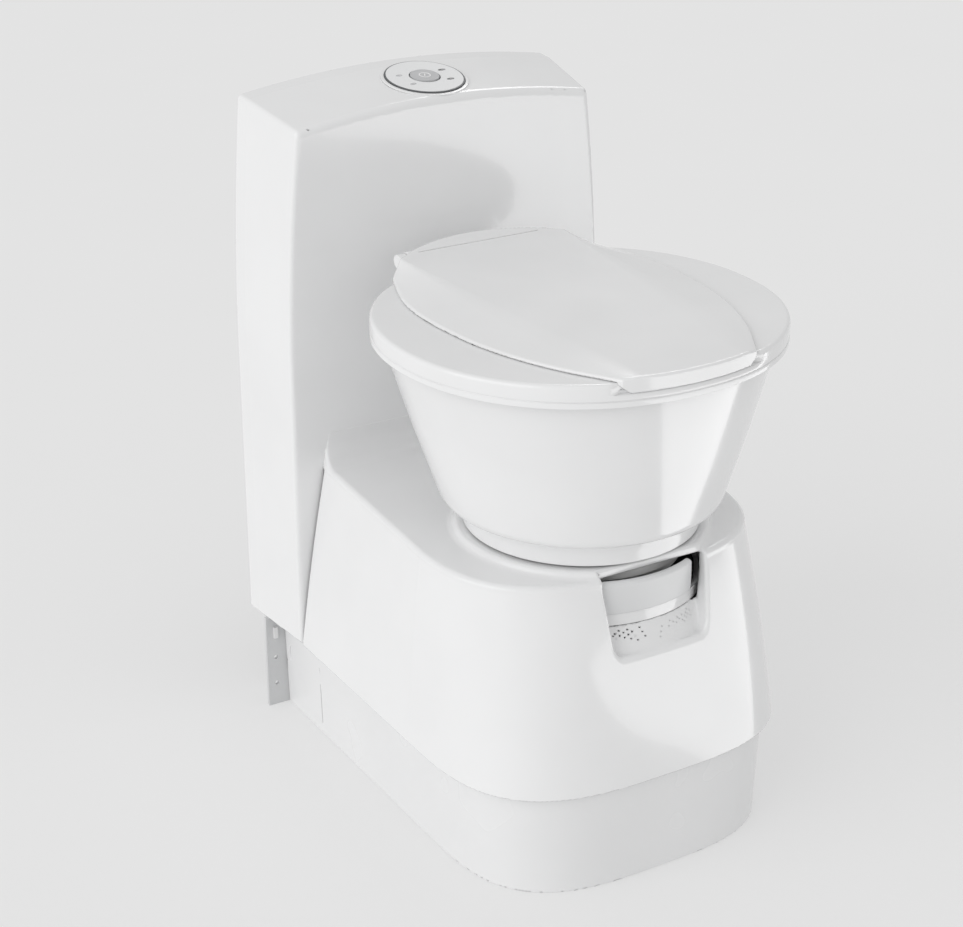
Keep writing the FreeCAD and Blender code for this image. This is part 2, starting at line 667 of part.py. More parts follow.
def bowl_shell():
    shell = bowl_skin(0).cut(bowl_skin(WALL))
    return shell.cut([post(88, 0, AXIS_Y, BOWL_FOOT_Z - 5, BOWL_FOOT_Z + 10), hose_notch()])


def bowl_foot():
    skirt = ring(FOOT_R, FOOT_R - WALL, FOOT_Z, BOWL_FOOT_Z)
    top = ring(FOOT_R, 94, BOWL_FOOT_Z - WALL, BOWL_FOOT_Z)
    return join([skirt, top]).cut(hose_notch())


def bowl_hub():
    tube = ring(100.35, 94, 306, BOWL_FOOT_Z - WALL)
    collar = ring(104, 94, 306, 312)
    return join([tube, collar]).cut(hose_notch())


def bowl_liner():
    """Cone that lines the bowl, open below into the sump, with a slot for the flush nozzle."""
    wall = turned([(SUMP_R, SUMP_Z), (LINER_R, LINER_TOP_Z), (LINER_R + LINER_T, LINER_TOP_Z),
                   (LINER_R + LINER_T, LINER_TOP_Z - 3.0), (SUMP_R + LINER_T, SUMP_Z - 3.0)])
    nozzle_hole = box(-9.2, 9.2, AXIS_Y + 130, AXIS_Y + 156, 525.8, 533.2)
    return wall.cut(nozzle_hole)


def bowl_sump():
    """Dished floor of the bowl with the outlet spigot that turns in the throat."""
    return turned([(OUTLET_R, SPIGOT_FOOT_Z), (OUTLET_R, SUMP_Z - 10.0), (SUMP_R, SUMP_Z),
                   (SUMP_R + LINER_T, SUMP_Z - 3.0), (SPIGOT_R + 2.0, SUMP_Z - 16.0),
                   (SPIGOT_R, SUMP_Z - 18.0), (SPIGOT_R, SPIGOT_FOOT_Z)])


def bowl_rim():
    """Flat rim that closes the space between the liner and the outside of the bowl."""
    outline = oval(BOWL_RIM_HALF - 7, BOWL_RIM_DEPTH - 7, OVAL_CENTRE_Y, 0)
    rim = prism(outline, LINER_TOP_Z - 4, LINER_TOP_Z + 0.5)
    return rim.cut(post(LINER_R + LINER_T, 0, AXIS_Y, LINER_TOP_Z - 10, LINER_TOP_Z + 10))


def outlet_seal():
    return ring(THROAT_R - GAP, SPIGOT_R, 298, 303)


def water_union_ring():
    cover = ring(UNION_R[1], UNION_R[0], UNION_TOP_Z + GAP, UNION_TOP_Z + 2.5)
    tube = post(6, 0, AXIS_Y + UNION_MID_R, UNION_TOP_Z + 2.5, 312)
    return join([cover, tube]).cut(post(4, 0, AXIS_Y + UNION_MID_R, 300, 320))


def bowl_hose():
    route = [(70, 312), (70, 336), (82, 358), (110, 382), (140, 430), (162, 482), (162, 520)]
    return pipe([V(0, AXIS_Y + reach, z) for reach, z in route], 5.0, 3.2)


def flush_nozzle():
    body = box(-11, 11, AXIS_Y + 153, AXIS_Y + 171, 520, 536.8)
    spout = box(-9, 9, AXIS_Y + 138, AXIS_Y + 153, 526, 533)
    return join([body, spout])


def hinge_block():
    barrel = rod(HINGE_R, V(-HINGE_HALF, HINGE_Y, HINGE_Z), V(HINGE_HALF, HINGE_Y, HINGE_Z))
    stem = box(-HINGE_HALF, HINGE_HALF, HINGE_Y - 6, HINGE_Y + 6, 542, HINGE_Z)
    bracket = box(-HINGE_HALF, HINGE_HALF, 70, HINGE_Y + 6, 541.7, 545.7)
    pins = rod(PIN_R + 0.01, V(-HINGE_HALF - 1, HINGE_Y, HINGE_Z), V(HINGE_HALF + 1, HINGE_Y, HINGE_Z))
    return join([barrel, stem, bracket]).cut(pins)


def hinge_pins():
    pin = rod(PIN_R, V(HINGE_HALF - 30, HINGE_Y, HINGE_Z), V(HINGE_HALF + 2 * KNUCKLE + 3, HINGE_Y, HINGE_Z))
    head = rod(PIN_R + 2, V(HINGE_HALF + 2 * KNUCKLE + 3, HINGE_Y, HINGE_Z),
               V(HINGE_HALF + 2 * KNUCKLE + 5, HINGE_Y, HINGE_Z))
    return both_sides(pin.fuse(head))


# ---- seat and lid ------------------------------------------------------------------------------
def knuckles(start_x, arm):
    """A pair of hinge eyes with their arms."""
    eye = rod(HINGE_R, V(start_x, HINGE_Y, HINGE_Z), V(start_x + KNUCKLE - 0.6, HINGE_Y, HINGE_Z))
    bar = polygon_yz(arm, start_x, start_x + KNUCKLE - 0.6)
    hole = rod(PIN_R + 0.05, V(start_x - 1, HINGE_Y, HINGE_Z), V(start_x + KNUCKLE, HINGE_Y, HINGE_Z))
    return eye.fuse(bar), hole


def seat_ring():
    outer = prism(oval(SEAT_HALF, SEAT_DEPTH, OVAL_CENTRE_Y, 0), SEAT_FOOT_Z, SEAT_TOP_Z)
    outer = outer.makeFillet(7.0, [e for e in outer.Edges if abs(e.BoundBox.ZMin - SEAT_TOP_Z) < 0.1])
    hollow = prism(oval(SEAT_HALF - WALL, SEAT_DEPTH - WALL, OVAL_CENTRE_Y, 0), SEAT_FOOT_Z - 1,
                   SEAT_TOP_Z - 2 * WALL)
    wall = prism(oval(SEAT_HOLE_HALF + WALL, SEAT_HOLE_DEPTH + WALL, SEAT_HOLE_Y, 0), 545, SEAT_TOP_Z)
    hole = prism(oval(SEAT_HOLE_HALF, SEAT_HOLE_DEPTH, SEAT_HOLE_Y, 0), SEAT_FOOT_Z, SEAT_TOP_Z + 1)
    ring_shape = join([outer.cut(hollow), wall]).cut(hole)
    rear_cut = box(-300, 300, SEAT_REAR_CUT_Y, 200, SEAT_FOOT_Z - 2, SEAT_REAR_CUT_Z)
    lip_room = box(-LID_FRONT_HALF - 0.5, LID_FRONT_HALF + 0.5, -300, -265, 548.5, 600)
    inner_front = prism(oval(SEAT_HALF - 5, SEAT_DEPTH - 5, OVAL_CENTRE_Y, 0), 548.5, 600)
    notch = lip_room.cut(inner_front)
    eye, bore = knuckles(HINGE_HALF + 0.6, [(92, 550), (92, 558.6), (111, 558.6), (HINGE_Y, HINGE_Z),
                                            (122, 560), (114, 550)])
    ring_shape = join([ring_shape.cut([rear_cut, notch]), eye, mirror_x(eye)])
    return ring_shape.cut([bore, mirror_x(bore)])


def seat_buffers():
    places = [(150, -170), (158, -60)]
    pads = [post(8, side * x, y, 541.8, SEAT_TOP_Z - 2 * WALL) for x, y in places for side in (-1, 1)]
    return Part.makeCompound(pads)


def lid_outline():
    points = [V(LID_REAR_HALF, LID_REAR_Y, 0)] + [V(x, y, 0) for x, y in LID_SIDE]
    points.append(V(LID_FRONT_HALF, -276, 0))
    side = Part.BSplineCurve()
    side.interpolate(points)
    front = V(LID_FRONT_HALF, -300, 0)
    right = [side.toShape(), Part.makeLine(points[-1], front)]
    left = [e.mirror(V(0, 0, 0), ACROSS) for e in right]
    closing = [Part.makeLine(front, V(-front.x, front.y, 0)),
               Part.makeLine(points[0], V(-points[0].x, points[0].y, 0))]
    return Part.Wire(Part.__sortEdges__(right + left + closing))


def lid_roof(drop):
    """Everything above the lid's top: a sloping flat with a bevel down each side."""
    rear = LID_CREASE_REAR_Z - drop
    front = LID_CREASE_FRONT_Z - drop
    edge = LID_EDGE_Z - drop
    flat = polygon_yz([(LID_REAR_Y + 1, rear), (FRONT_Y - 10, front),
                       (FRONT_Y - 10, 640), (LID_REAR_Y + 1, 640)], -200, 200)
    rear_y = LID_REAR_Y + 1
    crease_rear = V(LID_REAR_HALF, rear_y, rear)
    crease_front = V(LID_FRONT_HALF, FRONT_Y - 10, front)
    edge_mid = V(149, -60, edge)
    normal = (crease_front - crease_rear).cross(edge_mid - crease_rear).normalize()
    if normal.z < 0:
        normal = normal * -1
    plane = Part.makeBox(900, 900, 200, V(-450, -450, 0))
    plane.Placement = FreeCAD.Placement(crease_rear, FreeCAD.Rotation(UP, normal)).multiply(plane.Placement)
    return [flat, plane, mirror_x(plane)]


def lid_shell():
    seat_limit = prism(oval(SEAT_HALF, SEAT_DEPTH, OVAL_CENTRE_Y, 0), 540, 600)
    seat_limit = seat_limit.fuse(box(-200, 200, -180, 200, 540, 600))
    under = SEAT_TOP_Z + 0.6
    blank = prism(lid_outline(), 549, 600).common(seat_limit).cut(lid_roof(0))
    lip_back = prism(oval(SEAT_HALF - 4.5, SEAT_DEPTH - 4.5, OVAL_CENTRE_Y, 0), 540, under)
    behind = box(-300, 300, -262, 300, 540, under)
    beside = box(LID_FRONT_HALF, 300, -300, -250, 540, under)
    body = blank.cut([lip_back, behind, beside, mirror_x(beside)])
    scale = FreeCAD.Matrix()
    scale.scale(0.955, 0.965, 1)
    core = prism(lid_outline(), 540, 600).transformGeometry(scale)
    core.translate(V(0, -3, 0))
    front_stop = prism(oval(SEAT_HALF - 6, SEAT_DEPTH - 6, OVAL_CENTRE_Y, 0), 540, 600)
    core = core.common(front_stop).cut(lid_roof(WALL))
    hollow = core.common(box(-300, 300, -300, 300, under - 1, 600))
    arm = [(100, 562), (100, 574), (HINGE_Y, 574.5), (HINGE_Y, HINGE_Z), (112, 561)]
    eye, hole = knuckles(HINGE_HALF + KNUCKLE + 1.0, arm)
    ribs = [box(x - 1.2, x + 1.2, -230, 90, under, 575) for x in (-60, 0, 60)]
    ribs = [rib.cut(lid_roof(1.0)) for rib in ribs]
    pads = [post(3, side * x, y, SEAT_TOP_Z, SEAT_TOP_Z + 2.4) for x, y in LID_PADS for side in (-1, 1)]
    return join([body.cut(hollow), eye, mirror_x(eye)] + ribs).cut([hole, mirror_x(hole)] + pads)


def lid_buffers():
    pads = [post(3, side * x, y, SEAT_TOP_Z + 0.2, SEAT_TOP_Z + 2.4) for x, y in LID_PADS for side in (-1, 1)]
    return Part.makeCompound(pads)


# ---- waste tank --------------------------------------------------------------------------------
def tank_features(grow):
    """Wheel pockets, axle tunnel, grip grooves and the spout shelf, grown for the inside of the wall."""
    g = grow
    pocket = box(WHEEL_X - 3 - g, TANK_HALF + 5, TANK_FRONT_Y - 5, AXLE_Y + WHEEL_R + 3 + g, 0,
                 AXLE_Z + WHEEL_R + 3 + g)
    tunnel = box(-TANK_HALF - 5, TANK_HALF + 5, AXLE_Y - 5.5 - g, AXLE_Y + 5.5 + g, 0, AXLE_Z + 5.5 + g)
    groove = box(GRIP_X - 8 - g, TANK_HALF + 5, -10 - g, TANK_REAR_Y + 5, GRIP_Z - 8 - g, GRIP_Z + 8 + g)
    shelf = box(-TANK_HALF - 5, TANK_HALF + 5, SHELF_Y - g, TANK_REAR_Y + 5, SHELF_Z - g, TANK_TOP_Z + 5)
    return [pocket, mirror_x(pocket), tunnel, groove, mirror_x(groove), shelf]


def tank_block(inset):
    block = box(-TANK_HALF + inset, TANK_HALF - inset, TANK_FRONT_Y + inset, TANK_REAR_Y - inset,
                TANK_FOOT_Z + inset, TANK_TOP_Z - inset)
    upright = [e for e in block.Edges if e.BoundBox.ZLength > 100]
    return block.makeFillet(TANK_CORNER - inset, upright)


def tank_shell():
    outer = tank_block(0).cut(tank_features(0))
    inner = tank_block(WALL).cut(tank_features(WALL))
    neck = post(TANK_NECK_R, 0, AXIS_Y, TANK_TOP_Z - 10, TANK_TOP_Z + 5)
    spout_hole = post(13, SPOUT_X, SPOUT_Y, SHELF_Z - 10, SHELF_Z + 5)
    vent_hole = post(5.5, VENT_X, SPOUT_Y, SHELF_Z - 10, SHELF_Z + 5)
    return outer.cut([inner, neck, spout_hole, vent_hole])


def blade_housing():
    x0 = -BLADE_R - BLADE_TRAVEL - 6
    x1 = BLADE_R + 10
    y0 = AXIS_Y - BLADE_R - 6
    y1 = AXIS_Y + BLADE_R + 6
    block = box(x0, x1, y0, y1, TANK_TOP_Z, 238)
    cavity = box(x0 + 4, x1 - 1.5, AXIS_Y - BLADE_R - 0.6, AXIS_Y + BLADE_R + 0.6, BLADE_Z - GAP,
                 BLADE_Z + BLADE_T + GAP)
    mouth = box(x0 + 4, x1 - 1.5, y0 - 1, AXIS_Y, BLADE_Z - GAP, BLADE_Z + BLADE_T + GAP)
    throat = post(TANK_NECK_R, 0, AXIS_Y, TANK_TOP_Z - 1, 240)
    return block.cut([cavity, mouth, throat])


def lip_seal():
    return turned([(TANK_NECK_R + 1, 238), (BLADE_R, 238), (BLADE_R, 240), (TANK_NECK_R + 4, 242),
                   (TANK_NECK_R + 1, 242)])


def blade_plate():
    disc = post(BLADE_R, 0, AXIS_Y, BLADE_Z, BLADE_Z + BLADE_T)
    pin = about_axis(CRANK_R, CRANK_ANGLE)
    arm = box(pin.x - 12, pin.x + 12, -190, AXIS_Y, BLADE_Z, BLADE_Z + BLADE_T)
    arm = arm.common(box(-200, pin.x + 12, -200, 0, 200, 240))
    root = box(0, pin.x + 12, AXIS_Y - 30, AXIS_Y, BLADE_Z, BLADE_Z + BLADE_T)
    fork = box(pin.x - 12, pin.x + 12, -214, -188, BLADE_Z, 236)
    slot = box(pin.x - 4.8, pin.x + 4.8, -215, -194, BLADE_Z - 1, 240)
    return join([disc, arm, root, fork]).cut(slot)


def tank_axle():
    return rod(AXLE_R, V(-WHEEL_X - WHEEL_W - 2, AXLE_Y, AXLE_Z), V(WHEEL_X + WHEEL_W + 2, AXLE_Y, AXLE_Z))


def axle_clips():
    clips = [box(x - 4, x + 4, AXLE_Y - 5.3, AXLE_Y + 5.3, AXLE_Z - 6, AXLE_Z + 5.3).cut(
        rod(AXLE_R, V(x - 5, AXLE_Y, AXLE_Z), V(x + 5, AXLE_Y, AXLE_Z))) for x in (-100, 100)]
    return Part.makeCompound(clips)


def wheel(side):
    inner_x = side * WHEEL_X
    outer_x = side * (WHEEL_X + WHEEL_W)
    tyre = rod(WHEEL_R, V(inner_x, AXLE_Y, AXLE_Z), V(outer_x, AXLE_Y, AXLE_Z))
    bore = rod(AXLE_R + 0.05, V(inner_x - side, AXLE_Y, AXLE_Z), V(outer_x + side, AXLE_Y, AXLE_Z))
    dish = rod(14, V(outer_x - side * 3, AXLE_Y, AXLE_Z), V(outer_x + side, AXLE_Y, AXLE_Z))
    boss = rod(7, V(outer_x - side * 4, AXLE_Y, AXLE_Z), V(outer_x, AXLE_Y, AXLE_Z))
    return join([tyre.cut(dish), boss]).cut(bore)


def wheel_left():
    return wheel(-1)


def wheel_right():
    return wheel(1)


def tank_grip():
    bar_y = TANK_REAR_Y + 14
    rods = [rod(GRIP_ROD_R, V(x, -5, GRIP_Z), V(x, bar_y, GRIP_Z)) for x in (-GRIP_X, GRIP_X)]
    bar = rod(9, V(-GRIP_X - 5, bar_y, GRIP_Z), V(GRIP_X + 5, bar_y, GRIP_Z))
    return join([bar] + rods)


def grip_bushes():
    blocks = []
    for y in (150, 196):
        block = box(GRIP_X - 7.8, GRIP_X + 8, y, y + 18, GRIP_Z - 7.8, GRIP_Z + 7.8)
        blocks.append(block.cut(rod(GRIP_ROD_R + 0.05, V(GRIP_X, y - 1, GRIP_Z), V(GRIP_X, y + 19, GRIP_Z))))
    return Part.makeCompound(blocks + [mirror_x(block) for block in blocks])


def shelf_collars():
    """Socket that the spout turns in, and the collar that guides the vent's stem."""
    socket = ring(19, 12.95, SHELF_Z, SHELF_Z + 5, SPOUT_X, SPOUT_Y)
    guide = ring(12, 5.25, SHELF_Z, SHELF_Z + 2.5, VENT_X, SPOUT_Y)
    return Part.makeCompound([socket, guide])


def pour_spout():
    turn_post = post(12.9, SPOUT_X, SPOUT_Y, SHELF_Z - 6, SPOUT_Z)
    barrel = rod(SPOUT_R, V(SPOUT_X + 12, SPOUT_Y, SPOUT_Z), V(SPOUT_X - SPOUT_REACH, SPOUT_Y, SPOUT_Z))
    bore = rod(SPOUT_R - 3, V(SPOUT_X + 4, SPOUT_Y, SPOUT_Z), V(SPOUT_X - SPOUT_REACH - 1, SPOUT_Y, SPOUT_Z))
    down = post(9.5, SPOUT_X, SPOUT_Y, SHELF_Z - 7, SPOUT_Z)
    neck = Part.makeCone(14.5, SPOUT_R, 8, V(SPOUT_X, SPOUT_Y, SHELF_Z + 5.3), UP)
    return join([turn_post, neck, barrel]).cut([bore, down])


def spout_cap():
    end_x = SPOUT_X - SPOUT_REACH
    skirt = rod(SPOUT_R + 3.5, V(end_x + 12, SPOUT_Y, SPOUT_Z), V(end_x - 5, SPOUT_Y, SPOUT_Z))
    hollow = rod(SPOUT_R + 0.05, V(end_x + 13, SPOUT_Y, SPOUT_Z), V(end_x - 1, SPOUT_Y, SPOUT_Z))
    cap = skirt.cut(hollow)
    for count in range(12):
        rim_z = SPOUT_Z + SPOUT_R + 4.1
        groove = rod(1.4, V(end_x + 13, SPOUT_Y, rim_z), V(end_x - 6, SPOUT_Y, rim_z))
        groove.rotate(V(0, SPOUT_Y, SPOUT_Z), ACROSS, 30 * count)
        cap = cap.cut(groove)
    return cap


def vent_button():
    head = post(9, VENT_X, SPOUT_Y, SHELF_Z + 7, SHELF_Z + 15)
    stem = post(5.2, VENT_X, SPOUT_Y, SHELF_Z - 10, SHELF_Z + 7)
    return join([head, stem])


def float_bracket():
    plate = box(-76, -44, 40, 80, TANK_TOP_Z - WALL - 3, TANK_TOP_Z - WALL)
    cheeks = [box(x, x + 4, 52, 68, TANK_TOP_Z - WALL - 22, TANK_TOP_Z - WALL - 3) for x in (-70, -54)]
    pin = rod(2.5, V(-70, 60, TANK_TOP_Z - WALL - 15), V(-50, 60, TANK_TOP_Z - WALL - 15))
    return join([plate, pin] + cheeks)


def tank_float():
    z = TANK_TOP_Z - WALL - 15
    eye = rod(6, V(-65.5, 60, z), V(-54.5, 60, z))
    arm = box(-62.5, -57.5, 57.5, 62.5, z - 70, z)
    bulb = Part.makeSphere(15, V(-60, 60, z - 80))
    return join([eye, arm, bulb]).cut(rod(2.55, V(-70, 60, z), V(-50, 60, z)))


# ---- tank bay ----------------------------------------------------------------------------------
def tank_rails():
    rail = box(98, 112, -120, FLANGE_Y - 2, FLOOR_T, TANK_FOOT_Z - GAP)
    return both_sides(rail)


def tank_guides():
    guide = box(TANK_HALF + 2, TANK_HALF + 5, -100, FLANGE_Y - 2, FLOOR_T, 46)
    foot = box(TANK_HALF + 2, TANK_HALF + 16, -100, FLANGE_Y - 2, FLOOR_T, FLOOR_T + 3)
    screw_access = post(5.5, 150, 190, FLOOR_T - 1, FLOOR_T + 60)
    return both_sides(guide.fuse(foot).cut(screw_access))


# ---- export ------------------------------------------------------------------------------------
NODES = [
    base_tray, rear_frame, flange_tabs, bench_cover, rear_housing, housing_back, housing_screws,
    control_bezel, control_pad, indicator_lights, control_board, flush_button,
    flush_tank, filler_cap, flush_pump, console_hoses, water_inlet, cable_gland, fuse_holder, pump_lead,
    bearing_ring, support_deck, throat_tube, water_union_base, lever_ring, blade_handle,
    bowl_shell, bowl_foot, bowl_hub, bowl_liner, bowl_sump, bowl_rim, outlet_seal,
    water_union_ring, bowl_hose, flush_nozzle,
    hinge_block, hinge_pins, seat_ring, seat_buffers, lid_shell, lid_buffers,
    tank_shell, blade_housing, lip_seal, blade_plate, tank_axle, axle_clips, wheel_left, wheel_right,
    tank_grip, grip_bushes, shelf_collars, pour_spout, spout_cap, vent_button,
    float_bracket, tank_float, tank_rails, tank_guides,
]

os.makedirs("parts", exist_ok=True)
for make in NODES:
    shape = make()
    shape.exportStep("parts/" + make.__name__ + ".step")
    print(make.__name__, len(shape.Solids), "solids", round(shape.Volume / 1000, 1), "cm3", shape.isValid())
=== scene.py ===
# %% [markdown]
# # A cassette toilet, built up in layers
# This lesson dresses an engineering model of a camper's cassette toilet. The model already holds every
# piece in the right place: a plinth, a bench, a tall flush console, a swivelling bowl with a seat and a lid,
# and a wheeled waste tank underneath. Here the moulded covers are made again as smooth meshes, every piece
# gets a finish, and a small studio is set up round the whole.

import math

import bpy
import numpy as np
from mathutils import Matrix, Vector


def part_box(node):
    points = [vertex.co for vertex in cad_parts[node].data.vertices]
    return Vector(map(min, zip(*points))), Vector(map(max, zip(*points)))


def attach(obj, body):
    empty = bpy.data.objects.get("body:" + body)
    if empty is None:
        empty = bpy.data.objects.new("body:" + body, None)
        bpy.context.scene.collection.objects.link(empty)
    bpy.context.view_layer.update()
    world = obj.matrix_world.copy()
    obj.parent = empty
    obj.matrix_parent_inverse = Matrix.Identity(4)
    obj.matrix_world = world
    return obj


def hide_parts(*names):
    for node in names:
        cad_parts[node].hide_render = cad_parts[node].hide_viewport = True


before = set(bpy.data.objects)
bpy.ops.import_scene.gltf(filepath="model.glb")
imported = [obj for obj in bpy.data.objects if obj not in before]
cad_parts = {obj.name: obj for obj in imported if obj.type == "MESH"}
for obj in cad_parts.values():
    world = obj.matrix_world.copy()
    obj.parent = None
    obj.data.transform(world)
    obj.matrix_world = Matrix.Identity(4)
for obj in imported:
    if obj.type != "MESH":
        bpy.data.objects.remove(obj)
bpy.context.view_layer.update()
MM = 0.001


# %% [markdown]
# ## Reading sizes from the frame
# Every size below starts from the box of an engineering node. Millimetres are easier to think in for
# a moulding, so the boxes are read in millimetres and only the finished points are turned into metres.

# %% Sizes in millimetres
def box_mm(node):
    low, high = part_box(node)
    return np.array(low) / MM, np.array(high) / MM


BENCH_LOW, BENCH_HIGH = box_mm("bench_cover")
CONSOLE_LOW, CONSOLE_HIGH = box_mm("rear_housing")
FOOT_LOW, FOOT_HIGH = box_mm("bowl_foot")
BOWL_LOW, BOWL_HIGH = box_mm("bowl_shell")
SEAT_LOW, SEAT_HIGH = box_mm("seat_ring")
LID_LOW, LID_HIGH = box_mm("lid_shell")
AXIS_Y = (FOOT_LOW[1] + FOOT_HIGH[1]) / 2
print("swivel axis at y", round(AXIS_Y, 1))


# %% [markdown]
# ## Shaping by distance
# A moulded cover is mostly a plain block with generous rounds where faces meet. One way to make it is to
# model a box and bevel its edges, but bevels fight each other where a cut-out crosses a curved wall. Here
# each cover is described by a distance: negative inside the plastic, positive outside. Joining two
# shapes or cutting one from another can then round the edge between them to any radius.

# %% Rounded joins and cuts
def round_join(a, b, radius):
    corner = np.hypot(np.maximum(radius - a, 0), np.maximum(radius - b, 0))
    return np.maximum(radius, np.minimum(a, b)) - corner


def round_meet(a, b, radius):
    corner = np.hypot(np.maximum(radius + a, 0), np.maximum(radius + b, 0))
    return np.minimum(-radius, np.maximum(a, b)) + corner


def even(rule, step=0.5):
    """The same shape as rule, but with values that grow by one per millimetre."""
    def measured(x, y, z):
        across = (rule(x + step, y, z) - rule(x - step, y, z)) / (2 * step)
        along = (rule(x, y + step, z) - rule(x, y - step, z)) / (2 * step)
        upward = (rule(x, y, z + step) - rule(x, y, z - step)) / (2 * step)
        slope = np.sqrt(across ** 2 + along ** 2 + upward ** 2)
        return rule(x, y, z) / np.maximum(slope, 0.2)
    return measured


# %% [markdown]
# ## From distance to mesh
# The shape is sampled on a grid of small cells. Every cell that the surface passes through gets one point,
# and every grid edge that crosses the surface gets one four-sided face between its four cells. The points
# then slide onto the exact surface, and the surface's own slope gives each point its shading direction, so
# a gloss finish shows clean reflections.

# %% Sampling the grid
COARSE = 4


def stretched(values, axis, times):
    """Fill in the samples between coarse ones by straight lines."""
    a = np.moveaxis(values, axis, 0)
    steps = [a[:-1] + (a[1:] - a[:-1]) * (k / times) for k in range(times)]
    filled = np.stack(steps, 1).reshape(-1, *a.shape[1:])
    return np.moveaxis(np.concatenate([filled, a[-1:]]), 0, axis)


def sample(rule, low, high, cell):
    counts = np.ceil((np.array(high) - np.array(low)) / (cell * COARSE)).astype(int) * COARSE
    axes = [low[i] + cell * np.arange(counts[i] + 1) for i in range(3)]
    values = rule(*np.meshgrid(*[a[::COARSE] for a in axes], indexing="ij"))
    for axis in range(3):
        values = stretched(values, axis, COARSE)
    near = np.abs(values) < COARSE * cell * 1.25
    i, j, k = np.nonzero(near)
    values[near] = rule(axes[0][i], axes[1][j], axes[2][k])
    return values


# %% Points and faces of the surface
def cell_points(values, cells):
    total = np.zeros((len(cells), 3))
    hits = np.zeros(len(cells))
    corners = [(i, j, k) for i in (0, 1) for j in (0, 1) for k in (0, 1)]
    for a in corners:
        for b in corners:
            if sum(b) - sum(a) == 1 and all(q >= p for p, q in zip(a, b)):
                start = values[tuple((cells + a).T)]
                end = values[tuple((cells + b).T)]
                cross = (start < 0) != (end < 0)
                share = np.where(cross, start / np.where(cross, start - end, 1), 0)
                total += cross[:, None] * (np.array(a) + share[:, None] * (np.array(b) - np.array(a)))
                hits += cross
    return cells + total / hits[:, None]


def cell_faces(inside, index):
    faces = []
    for axis in range(3):
        order = (axis, (axis + 1) % 3, (axis + 2) % 3)
        solid = inside.transpose(order)
        ids = index.transpose(order)
        start, end = solid[:-1, 1:-1, 1:-1], solid[1:, 1:-1, 1:-1]
        i, j, k = np.nonzero(start != end)
        quad = np.stack([ids[i, j, k], ids[i, j + 1, k], ids[i, j + 1, k + 1], ids[i, j, k + 1]], 1)
        outward = start[i, j, k]
        quad[~outward] = quad[~outward][:, ::-1]
        faces.append(quad)
    return np.concatenate(faces)


def slope_of(rule, points, step=0.05):
    base = rule(*points.T)
    ahead = [rule(*(points + step * np.eye(3)[i]).T) for i in range(3)]
    back = [rule(*(points - step * np.eye(3)[i]).T) for i in range(3)]
    return base, (np.array(ahead) - np.array(back)).T / (2 * step)


def settled(rule, points, cell, rounds):
    """Slide points along the slope until they lie on the surface."""
    for _ in range(rounds):
        base, slope = slope_of(rule, points)
        size = np.maximum((slope ** 2).sum(1), 0.05)
        points = points - np.clip(base / size, -cell / 2, cell / 2)[:, None] * slope
    return points


def relaxed(rule, points, faces, cell):
    """Even out the spacing of the points, so that rounded edges come out smooth."""
    for _ in range(3):
        middle = points[faces].mean(1)
        total = np.zeros_like(points)
        hits = np.zeros(len(points))
        for corner in range(4):
            for axis in range(3):
                total[:, axis] += np.bincount(faces[:, corner], middle[:, axis], len(points))
            hits += np.bincount(faces[:, corner], minlength=len(points))
        points = points + 0.6 * (total / hits[:, None] - points)
        points = settled(rule, points, cell, 1)
    return settled(rule, points, cell, 1)


def carve(name, rule, low, high, cell):
    """A mesh object of the surface where rule is zero."""
    values = sample(rule, low, high, cell)
    inside = values < 0
    n = inside.shape
    count = np.zeros([s - 1 for s in n], np.int8)
    for i in (0, 1):
        for j in (0, 1):
            for k in (0, 1):
                count += inside[i:n[0] - 1 + i, j:n[1] - 1 + j, k:n[2] - 1 + k]
    mixed = (count > 0) & (count < 8)
    cells = np.argwhere(mixed)
    index = np.full(mixed.shape, -1, np.int64)
    index[mixed] = np.arange(len(cells))
    points = np.array(low) + cell * cell_points(values, cells)
    faces = cell_faces(inside, index)
    points = relaxed(rule, settled(rule, points, cell, 2), faces, cell)
    slope = slope_of(rule, points, 0.25)[1]
    normals = slope / np.maximum(np.linalg.norm(slope, axis=1), 1e-6)[:, None]
    return solid_mesh(name, points, faces, normals)


# %% A mesh object from points and faces
def solid_mesh(name, points, faces, normals=None):
    mesh = bpy.data.meshes.new(name)
    mesh.from_pydata((np.asarray(points) * MM).tolist(), [], [tuple(map(int, f)) for f in faces])
    mesh.validate(clean_customdata=False)
    mesh.update()
    mesh.polygons.foreach_set("use_smooth", [True] * len(mesh.polygons))
    if normals is not None:
        mesh.normals_split_custom_set_from_vertices(normals.tolist())
    made = bpy.data.objects.new(name, mesh)
    bpy.context.scene.collection.objects.link(made)
    print(name, len(mesh.vertices), "points", len(mesh.polygons), "faces")
    return made


def fit(piece, body, nodes, finish):
    """Give a finished piece its body, the nodes it stands for and its material."""
    piece.data.materials.clear()
    piece.data.materials.append(finish)
    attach(piece, body)
    if nodes:
        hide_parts(*nodes)
    return piece


# %% [markdown]
# ## Finishes
# Moulded plastic is never one flat colour: the tool leaves a faint orange peel, the gloss varies a little,
# and tone drifts slowly over a large part. Two noise textures give that: a slow one that shifts colour and
# gloss, and a fine one that drives a bump. Fixed numbers sit on the shader's own sockets.

# %% A moulded plastic
def new_finish(name):
    finish = bpy.data.materials.new(name)
    finish.use_nodes = True
    tree = finish.node_tree
    shader = tree.nodes["Principled BSDF"]
    place = tree.nodes.new("ShaderNodeTexCoord")
    return finish, tree, shader, place.outputs["Object"]


